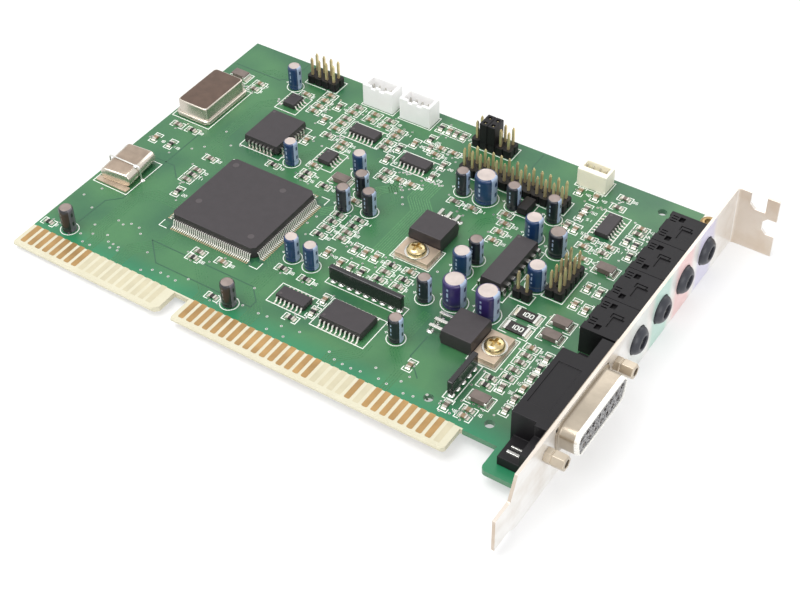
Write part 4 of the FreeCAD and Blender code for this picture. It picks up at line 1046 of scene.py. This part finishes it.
def makeCapacitors():
    plan = capacitors
    count = plan["segments"]
    share, start, end, rings = plan["side"]
    bands = len(plan["foot"]) + rings + len(plan["crown"])

    def toneAt(band, step):
        turn = (step + 0.5) * 360 / count
        away = min(turn, 360 - turn)
        if band >= bands - 3:
            return 2
        if away < plan["stripeHalf"]:
            return 0 if band == 0 or band in plan["dashes"] and away < plan["dashHalf"] else 1
        return 1 if plan["markTurn"][0] < turn < plan["markTurn"][1] and band in plan["marks"] else 0

    for node, sleeve in sleeves.items():
        mould = Mould()
        for low, high in solids(node):
            (x, y), tall, radius = middleOf(low, high), high.z, (high.x - low.x) / 2
            rise = (tall + end - start) / (rings - 1)
            profile = [(radius * out, up) for out, up in plan["foot"]]
            profile += [(radius * share, start + rise * step) for step in range(rings)]
            profile += [(radius * out, tall + up) for out, up in plan["crown"]]
            mould.lathe((x, y, 0), profile, count, toneAt=toneAt)
            inkCircle(x, y, radius + plan["circleGrow"])
            plusX, plusY, half = x - radius - plan["plusAway"], y + radius * 0.3, plan["plusHalf"]
            inkLine([(plusX - half, plusY), (plusX + half, plusY)])
            inkLine([(plusX, plusY - half), (plusX, plusY + half)])
            throughPins.extend((x + side * plan["leadGap"], y) for side in (-1, 1))
        stripe = dimStripe if node == "brown_capacitors" else sleeveStripe
        top = sleeveTop if node in plan["brightTops"] else dullTop
        mould.cast(node.replace("capacitors", "sleeved_cans"), [sleeve, stripe, top],
                   node.replace("capacitors", "sleeve"), [node])
    print("capacitors placed")


# Oscillator, crystal and strap
timing = {"rimHeight": 1.5, "coverInset": 0.8, "corner": 1.6, "coverCorner": 1.0, "topRound": 0.35,
          "pins": (3.81, 7.62), "canInk": 0.6, "crystalInk": 0.5, "crystalTurn": 5, "crystalRound": 1.7,
          "crystalInset": 0.5, "crystalLift": 0.3, "footDepth": 1.6, "topBand": 0.12,
          "collar": ((0.0, 0.1), (0.1, 0.0), (0.4, 0.0), (0.5, 0.1)),
          "wire": 0.24, "bend": 0.8, "bendSteps": 5, "wireToe": 0.3, "blob": 0.75,
          "bead": ((0, 0), (1, 0), (0.95, 0.2), (0.7, 0.45), (0.3, 0.6), (0, 0.62)),
          "footBlob": ((0, 0), (0.8, 0), (0.6, 0.2), (0.35, 0.4), (0, 0.45))}


def makeOscillator():
    plan = timing
    low, high = nodeBox("oscillator_can")
    middle = middleOf(low, high)
    rim, cover, corner, rounding = plan["rimHeight"], plan["coverInset"], plan["corner"], plan["topRound"]
    steps = [(0.25, 0.05, corner), (0.0, 0.3, corner), (0.0, rim - 0.25, corner), (0.12, rim - 0.07, corner),
             (0.3, rim, corner), (cover - 0.2, rim + 0.02, corner), (cover, rim + 0.25, plan["coverCorner"])]
    for turn in (math.pi / 8 * step for step in range(5)):
        steps.append((cover + rounding * (1 - math.cos(turn)), high.z - rounding * (1 - math.sin(turn)),
                      plan["coverCorner"]))
    can = Mould()
    can.loft([roundRing(middle, high.x - low.x - 2 * inset, high.y - low.y - 2 * inset, radius, height)
              for inset, height, radius in steps])
    can.inks[-1] = 1  # the flat top
    can.cast("oscillator_cover", [drawnCan, canTop], "can_metal", ["oscillator_can"])
    inkBox(low, high, plan["canInk"])
    acrossX, acrossY = plan["pins"]
    throughPins.extend((middle[0] + sideX * acrossX, middle[1] + sideY * acrossY)
                       for sideX in (-1, 1) for sideY in (-1, 1))
    print("oscillator placed")


def makeCrystal():
    plan = timing
    low, high = nodeBox("crystal_can")
    foot = low.y + plan["footDepth"]
    middle = Vector(((low.x + high.x) / 2, (foot + high.y) / 2))
    width, lift = high.x - low.x - 2 * plan["crystalInset"], plan["crystalLift"]
    turned = Matrix.Rotation(math.radians(plan["crystalTurn"]), 2)
    body, strap = Mould(), Mould()

    def section(y, inset):  # the can's cross-section at one place along it, turned a little on the board
        ring = roundRing((middle.x, (high.z + lift) / 2), width - 2 * inset, high.z - lift - 2 * inset,
                         plan["crystalRound"] - inset, y, 6)
        spots = [(turned @ (Vector((across, along)) - middle) + middle, up) for across, up, along in ring]
        return [(spot.x, spot.y, up) for spot, up in spots]

    ends = ((foot, 0.5), (foot + 0.12, 0.18), (foot + 0.4, 0.0), (high.y - 0.7, 0.0), (high.y - 0.3, 0.15),
            (high.y - 0.1, 0.5))
    body.loft([section(y, inset) for y, inset in ends])
    for index, face in enumerate(body.faces):
        if len(face) == 4 and all(body.points[corner][2] > high.z - plan["topBand"] for corner in face):
            body.inks[index] = 1  # the worn top
    collar, length, depth = (middle.x, (low.y + foot) / 2 + 0.2), high.x - low.x, foot - low.y + 0.4
    body.loft([roundRing(collar, length - inset, depth - inset, 0.3, height)
               for height, inset in plan["collar"]], 2)
    body.cast("crystal_cover", [drawnCan, crystalTop, tabMetal], "can_metal", ["crystal_can"])
    inkBox(low, high, plan["crystalInk"])
    strapLow, strapHigh = nodeBox("crystal_strap")
    y, wire, bend, toe = (strapLow.y + strapHigh.y) / 2, plan["wire"], plan["bend"], plan["wireToe"]
    left, right, over = strapLow.x + wire, high.x - 0.2 + wire, high.z + wire
    turns = [math.pi / 2 * step / plan["bendSteps"] for step in range(1, plan["bendSteps"] + 1)]
    bends = [(bend * (1 - math.cos(turn)), over - bend + bend * math.sin(turn)) for turn in turns]
    path = [(left, y, -0.2), (left, y, over - bend)] + [(left + aside, y, up) for aside, up in bends]
    path += [(right - aside, y, up) for aside, up in bends[::-1]]
    path += [(right, y, over - bend), (right, y, 0.5), (right + toe, y, 0.1)]
    strap.tube(path, wire)
    bead = [(plan["blob"] * out, up) for out, up in plan["bead"]]
    strap.lathe((right - 1.5, y, high.z - 0.1), bead, 16)
    strap.cast("crystal_wire_strap", [brightTin], "tin", ["crystal_strap"])
    for x in (left, right + toe):
        solderPin(x, y, plan["footBlob"])
    print("crystal strapped down")


networks = {"nodes": ("long_network", "short_network"), "pinHalf": (0.3, 0.15), "pinUp": 0.2, "pinDown": 0.1,
            "ink": 0.75, "blob": ((0, 0), (0.95, 0), (0.85, 0.12), (0.45, 0.45), (0, 0.5))}


def makeNetworks():
    pins = Mould()
    for node in networks["nodes"]:
        shell(node, glossBlack, 0.35)
        inkBox(*nodeBox(node), networks["ink"])
    halfX, halfY = networks["pinHalf"]
    for low, high in solids("network_pins"):
        x, y = middleOf(low, high)
        pins.block((x - halfX, y - halfY, -networks["pinDown"]),
                   (x + halfX, y + halfY, high.z + networks["pinUp"]))
        solderPin(x, y, networks["blob"])
    pins.cast("network_flat_pins", [tinPlate], "tin", ["network_pins"])
    print("networks placed")


# Bracket, jacks and game port
jacks = {"nodes": ["line_in_jack", "microphone_jack", "line_out_jack", "speaker_jack"],
         "top": 8.4, "axis": 5.2, "front": 25.4, "comb": ((4.7, 3.7, 2.7), (-1.8, -2.8, -3.8)),
         "combFrom": 0.9, "combTo": 2.5, "combWidth": 0.36, "combDepth": 0.5, "rearCut": 0.4,
         "rearDepth": 0.8, "noseSpace": 4.5,
         "nose": [(1.8, 0.0), (3.75, 0.0), (3.78, 1.1), (3.62, 1.55), (3.3, 2.0), (2.85, 2.4), (2.45, 2.58),
                  (2.05, 2.55), (1.85, 2.3), (1.8, 0.0)],
         "ring": [(1.5, 0.2), (1.75, 0.2), (1.75, 1.7), (1.5, 1.7), (1.5, 0.2)],
         "frame": (4.6, 7.4, -1.7, 1.8), "hook": 1.4, "groove": 0.35, "grooveDepth": 0.3,
         "pins": ((2, -3.5), (2, 3.5), (6, -3.5), (6, 3.5), (9, 0))}


def jackCutter(low, high, middle):  # what is cut from one jack's moulding
    plan = jacks
    top, above, groove, space = plan["top"], plan["top"] + 1, plan["groove"], plan["noseSpace"]
    near, far, half = low.x + plan["combFrom"], low.x + plan["combTo"], plan["combWidth"] / 2
    cutter = Mould()
    for slots in plan["comb"]:
        for out in slots:
            cutter.block((near, middle + out - half, top - plan["combDepth"]),
                         (far, middle + out + half, above))
        cutter.block((low.x - 1, middle + slots[-1], top - plan["rearDepth"]),
                     (low.x + plan["rearCut"], middle + slots[0], above))
    x0, x1, y0, y1 = plan["frame"]
    for first, last in (((x0, y1), (x1, y1)), ((x1, y0), (x1, y1)), ((x0, y1 - plan["hook"]), (x0, y1))):
        cutter.block((low.x + first[0] - 0.01, middle + first[1] - 0.01, top - plan["grooveDepth"]),
                     (low.x + last[0] + groove, middle + last[1] + groove, above))
    cutter.block((plan["front"], middle - space, plan["axis"] - space),
                 (high.x + 1, middle + space, plan["axis"] + space))
    return cutter


def makeJacks():
    plan = jacks
    noses, rings = Mould(), Mould()
    for node in plan["nodes"]:
        low, high = nodeBox(node)
        middle = (low.y + high.y) / 2
        shell(node, blackMoulding, 0.1, jackCutter(low, high, middle))
        noses.lathe((plan["front"], middle, plan["axis"]), plan["nose"], 40, along="x")
        rings.lathe((plan["front"], middle, plan["axis"]), plan["ring"], 24, along="x")
        throughPins.extend((low.x + x, middle + y) for x, y in plan["pins"])
    noses.cast("jack_noses", [jackNose], "black_moulding")
    rings.cast("jack_contact_rings", [tinPlate], "tin")
    print("jacks placed")


port = {"rows": ((8, 1.42), (7, -1.42)), "pitch": 2.77, "holeRadius": 0.75, "holeDepth": 2.0, "half": 12.5,
        "rise": 3.95, "slant": 1.4, "radius": 2.4, "leastRadius": 0.5, "insulatorInset": 0.75, "edge": 0.15,
        "lining": ((0.7, 0), (0.95, 0), (0.95, 1.2), (0.7, 1.2), (0.7, 0)), "liningDepth": 1.6,
        "pinsAt": 16.5, "pinRows": 1.4, "bore": 1.1, "boreDepth": 4.2,
        "recess": ((20.8, -4.4, 7.0), (23.9, 2.4, 10.7)),
        "clip": (((16.6, -2.4, 2.8), (20.3, -1.6, 3.5)), ((16.9, -0.7, 2.8), (20.3, -0.2, 3.7)),
                 ((20.0, -2.6, 2.8), (20.8, 0.1, 4.4))),
        "collar": ((25.3, 0.0), (26.2, 0.0), (26.2, -0.95), (26.45, -1.0), (26.55, -0.8), (26.6, -0.35),
                   (26.75, -0.12), (27.0, 0.0), (30.5, 0.0)),
        "rim": ((30.5, 0.0), (30.95, 0.05), (31.4, 0.13), (31.62, 0.26), (31.7, 0.42), (31.6, 0.58),
                (31.3, 0.64), (25.3, 0.64), (25.3, 0.0)),
        "post": ((26.2, 0.95), (26.4, 1.0), (27.7, 1.0), (27.85, 0.9), (28.0, 0.9), (28.15, 1.0), (31.2, 1.0),
                 (31.5, 0.88))}


def portRing(centre, x, inset):  # the port's outline, wider above than below
    half, rise = port["half"] - inset, port["rise"] - inset
    narrow = half - port["slant"]
    corners = [(centre.x - narrow, centre.y - rise), (centre.x + narrow, centre.y - rise),
               (centre.x + half, centre.y + rise), (centre.x - half, centre.y + rise)]
    return [(x, y, z) for y, z in softCorners(corners, max(port["leastRadius"], port["radius"] - inset))]


def makePortFace():
    plan = port
    low, high = nodeBox("game_port_insulator")
    centre = Vector(((low.y + high.y) / 2, (low.z + high.z) / 2))
    radius, inset, edge = plan["holeRadius"], plan["insulatorInset"], plan["edge"]
    lining = [(radius * out, up) for out, up in plan["lining"]]
    cutter, linings, face, steel = (Mould() for index in range(4))
    for count, rise in plan["rows"]:
        for index in range(count):
            y, z = centre.x + (index - (count - 1) / 2) * plan["pitch"], centre.y + rise
            cutter.lathe((high.x - plan["holeDepth"], y, z), drum(radius, 4), 14, along="x")
            linings.lathe((high.x - plan["liningDepth"], y, z), lining, 14, along="x")
            throughPins.append((plan["pinsAt"] + math.copysign(plan["pinRows"], rise), y))
    face.loft([portRing(centre, x, grow)
               for x, grow in ((low.x, inset), (high.x - edge, inset), (high.x, inset + edge))])
    settle("game_port_socket_face", carved(face.mesh("face"), cutter), [insulatorGrain],
           ["game_port_insulator"])
    linings.cast("game_port_contacts", [goldPlate], "pin_metal")
    low, high = nodeBox("game_port_shell")
    steel.block(low, (plan["collar"][0][0] + 0.03, high.y, high.z))
    # the rim loft takes the second finish, a painted highlight
    for tone, part in enumerate(("collar", "rim")):
        steel.loft([portRing(centre, x, grow) for x, grow in plan[part]], tone, False)
    steel.cast("game_port_drawn_shell", [portSteel, rimHighlight], "connector_steel", ["game_port_shell"])


def makeGamePort():
    plan = port
    makePortFace()
    recess, clip, posts, bores = (Mould() for index in range(4))
    recess.block(*plan["recess"])
    shell("game_port_body", blackMoulding, 0.25, recess)
    for low, high in plan["clip"]:
        clip.block(low, high)
    clip.cast("game_port_board_lock", [brightTin], "tin", ["game_port_board_clip"], 0.1)
    sixths = [math.pi / 3 * step for step in range(6)]
    for low, high in solids("game_port_jackscrews"):
        y, z, radius = (low.y + high.y) / 2, (low.z + high.z) / 2, (high.y - low.y) / 2
        posts.loft([[(x, y + radius * share * math.cos(turn), z + radius * share * math.sin(turn))
                     for turn in sixths] for x, share in plan["post"]])
        bores.lathe((high.x - plan["boreDepth"], y, z), drum(plan["bore"], 6), 20, along="x")
    settle("jackscrew_posts", carved(posts.mesh("posts"), bores), [postSteel],
           ["game_port_jackscrews"], 0.15)
    print("game port placed")


eyelet = {"centre": (20.6, 97.0), "inner": 1.45, "outer": 2.35, "seat": 0.86, "height": 0.4, "foot": -0.9,
          "lip": 0.25, "wall": 0.15}


def makeBracket():
    plan = eyelet
    cutter, ring = Mould(), Mould()
    x, y = plan["centre"]
    cutter.lathe((x, y, -1), drum(plan["inner"], 4), 28)
    shell("bracket", bracketSteel, 0.12, cutter)
    inner, outer, seat, tall = plan["inner"] - plan["lip"], plan["outer"], plan["seat"], plan["height"]
    wall, foot = inner + plan["wall"], plan["foot"]
    ring.lathe((x, y, 0), [(inner, foot), (inner, seat + tall * 0.7), (inner + plan["lip"], seat + tall),
                           (outer - 0.35, seat + tall * 0.9), (outer, seat + tall * 0.35), (outer, seat),
                           (wall, seat), (wall, foot), (inner, foot)], 32)
    ring.cast("board_eyelet", [eyeletBrass], "screw_brass")
    print("bracket riveted")


# Solder joints on the far side of the board
joints = {"radius": 0.95, "height": 0.75, "tip": 0.28, "peak": 1.05}


def makeJoints():
    cones = Mould()
    radius, height, tip = joints["radius"], joints["height"], joints["tip"]
    profile = [(0, 0.02), (radius, 0.02), (radius * 0.9, -0.12), (tip * 1.6, -height * 0.7), (tip, -height),
               (0, -height * joints["peak"])]
    for x, y in throughPins:
        cones.lathe((x, y, marks["backFace"]), profile, 14)
    cones.cast("solder_joints", [brightTin], "tin")
    print("solder joints:", len(throughPins))


for make in (makeBoard, makeContacts, makeSmallParts, makeLargeParts, makeChips, makeRegulators, makeHeaders,
             makePlugs, makeCapacitors, makeOscillator, makeCrystal, makeNetworks, makeJacks, makeGamePort,
             makeBracket, makeJoints, makeCopper):
    make()
for name, mould, finish, slot in (("board_print", silk, silkInk, "solder_mask"),
                                  ("solder_pads", pads, padSolder, "tin"),
                                  ("main_chip_pads", tanPads, tanPad, "tin"),
                                  ("solder_blobs", blobs, brightTin, "tin"),
                                  ("copper_gaps_and_painted_lead_shadow", gaps, gapAndShadowMask, "solder_mask")):
    mould.cast(name, [finish], slot)


# Stage: floor, light and camera
studio = {"floorHalf": 3.0, "floorColour": (0.93, 0.93, 0.93, 1.0), "floorGap": 0.02, "cameraLift": 0.5,
          "glossLift": 0.8, "worldFill": 0.62, "aim": (-0.05, 0.045, 0),
          "lamps": {"key": {"place": (-0.25, -0.15, 0.75), "size": 0.6, "power": 5.0},
                    "fill": {"place": (0.7, -0.5, 0.45), "size": 0.7, "power": 3.0},
                    "sheen": {"place": (0.0, 0.75, 0.5), "size": 0.5, "power": 1.2}}}
view = {"place": (126.21, -206.17, 274.28), "ahead": (-0.4031, 0.5958, -0.6947),
        "up": (-0.3725, 0.5865, 0.7192), "lens": 70.02, "sensor": 36.0}


def makeFloor():
    corners = [corner for island in islands("bracket") for corner in island]
    rest = min(corner.z for corner in corners)
    foot = min(corner.x for corner in corners if corner.z < rest + 0.01)
    tip = marks["backFace"] - joints["height"] * joints["peak"]
    tilt = min(math.atan2(tip - rest, foot - x) for x, y in throughPins)  # on the bracket and the far joints
    half = studio["floorHalf"]
    mesh = bpy.data.meshes.new("studio_floor")
    mesh.from_pydata([(-half, -half, 0), (half, -half, 0), (half, half, 0), (-half, half, 0)],
                     [], [(0, 1, 2, 3)])
    floor = bpy.data.objects.new("studio_floor", mesh)
    lowered = Matrix.Translation((foot * mm, 0, (rest - studio["floorGap"]) * mm))
    floor.matrix_world = lowered @ Matrix.Rotation(tilt, 4, "Y")
    bpy.context.scene.collection.objects.link(floor)
    paint = Finish("pale_floor")
    rays = paint.node("ShaderNodeLightPath").socket.node
    seen = Wire(paint, rays.outputs["Is Camera Ray"]) * studio["cameraLift"]
    mirrored = Wire(paint, rays.outputs["Is Glossy Ray"]) * studio["glossLift"]
    paint.put(Base_Color=studio["floorColour"], Roughness=0.9)
    glow = paint.node("ShaderNodeEmission", {}, {"Color": (1, 1, 1, 1), "Strength": 1.0})
    matt = Wire(paint, paint.shader.outputs[0])
    mix = paint.node("ShaderNodeMixShader", {}, {0: seen.atLeast(mirrored), 1: matt, 2: glow})
    paint.join(paint.tree.nodes["Material Output"].inputs["Surface"], mix)
    mesh.materials.append(paint.material)


def makeLights():
    world = bpy.data.worlds.new("studio")
    bpy.context.scene.world = world
    world.use_nodes = True
    sky = Shading(world.node_tree)
    rays = sky.node("ShaderNodeLightPath").socket.node
    seen = Wire(sky, rays.outputs["Is Camera Ray"]).atLeast(Wire(sky, rays.outputs["Is Glossy Ray"]))
    glow = world.node_tree.nodes["Background"]
    sky.join(glow.inputs["Color"], (1, 1, 1, 1))
    sky.join(glow.inputs["Strength"], seen * (1 - studio["worldFill"]) + studio["worldFill"])
    for name, plan in studio["lamps"].items():
        lamp = bpy.data.lights.new(name + "_softbox", "AREA")
        lamp.size = plan["size"]
        lamp.energy = plan["power"]
        box = bpy.data.objects.new(name + "_softbox", lamp)
        box.location = plan["place"]
        aim = Vector(studio["aim"]) - Vector(plan["place"])
        box.rotation_euler = aim.to_track_quat("-Z", "Y").to_euler()
        bpy.context.scene.collection.objects.link(box)


def makeCamera():
    lens = bpy.data.cameras.new("photo_camera")
    lens.lens = view["lens"]
    lens.sensor_width = view["sensor"]
    lens.sensor_fit = "HORIZONTAL"
    lens.clip_start = 0.01
    camera = bpy.data.objects.new("photo_camera", lens)
    back = -Vector(view["ahead"]).normalized()
    right = Vector(view["up"]).cross(back).normalized()
    up = back.cross(right)
    turn = Matrix((right, up, back)).transposed().to_4x4()
    camera.matrix_world = Matrix.Translation(Vector(view["place"]) * mm) @ turn
    bpy.context.scene.collection.objects.link(camera)
    bpy.context.scene.camera = camera


makeFloor()
makeLights()
makeCamera()
bpy.context.scene.view_settings.view_transform = "Standard"
print("stage set")
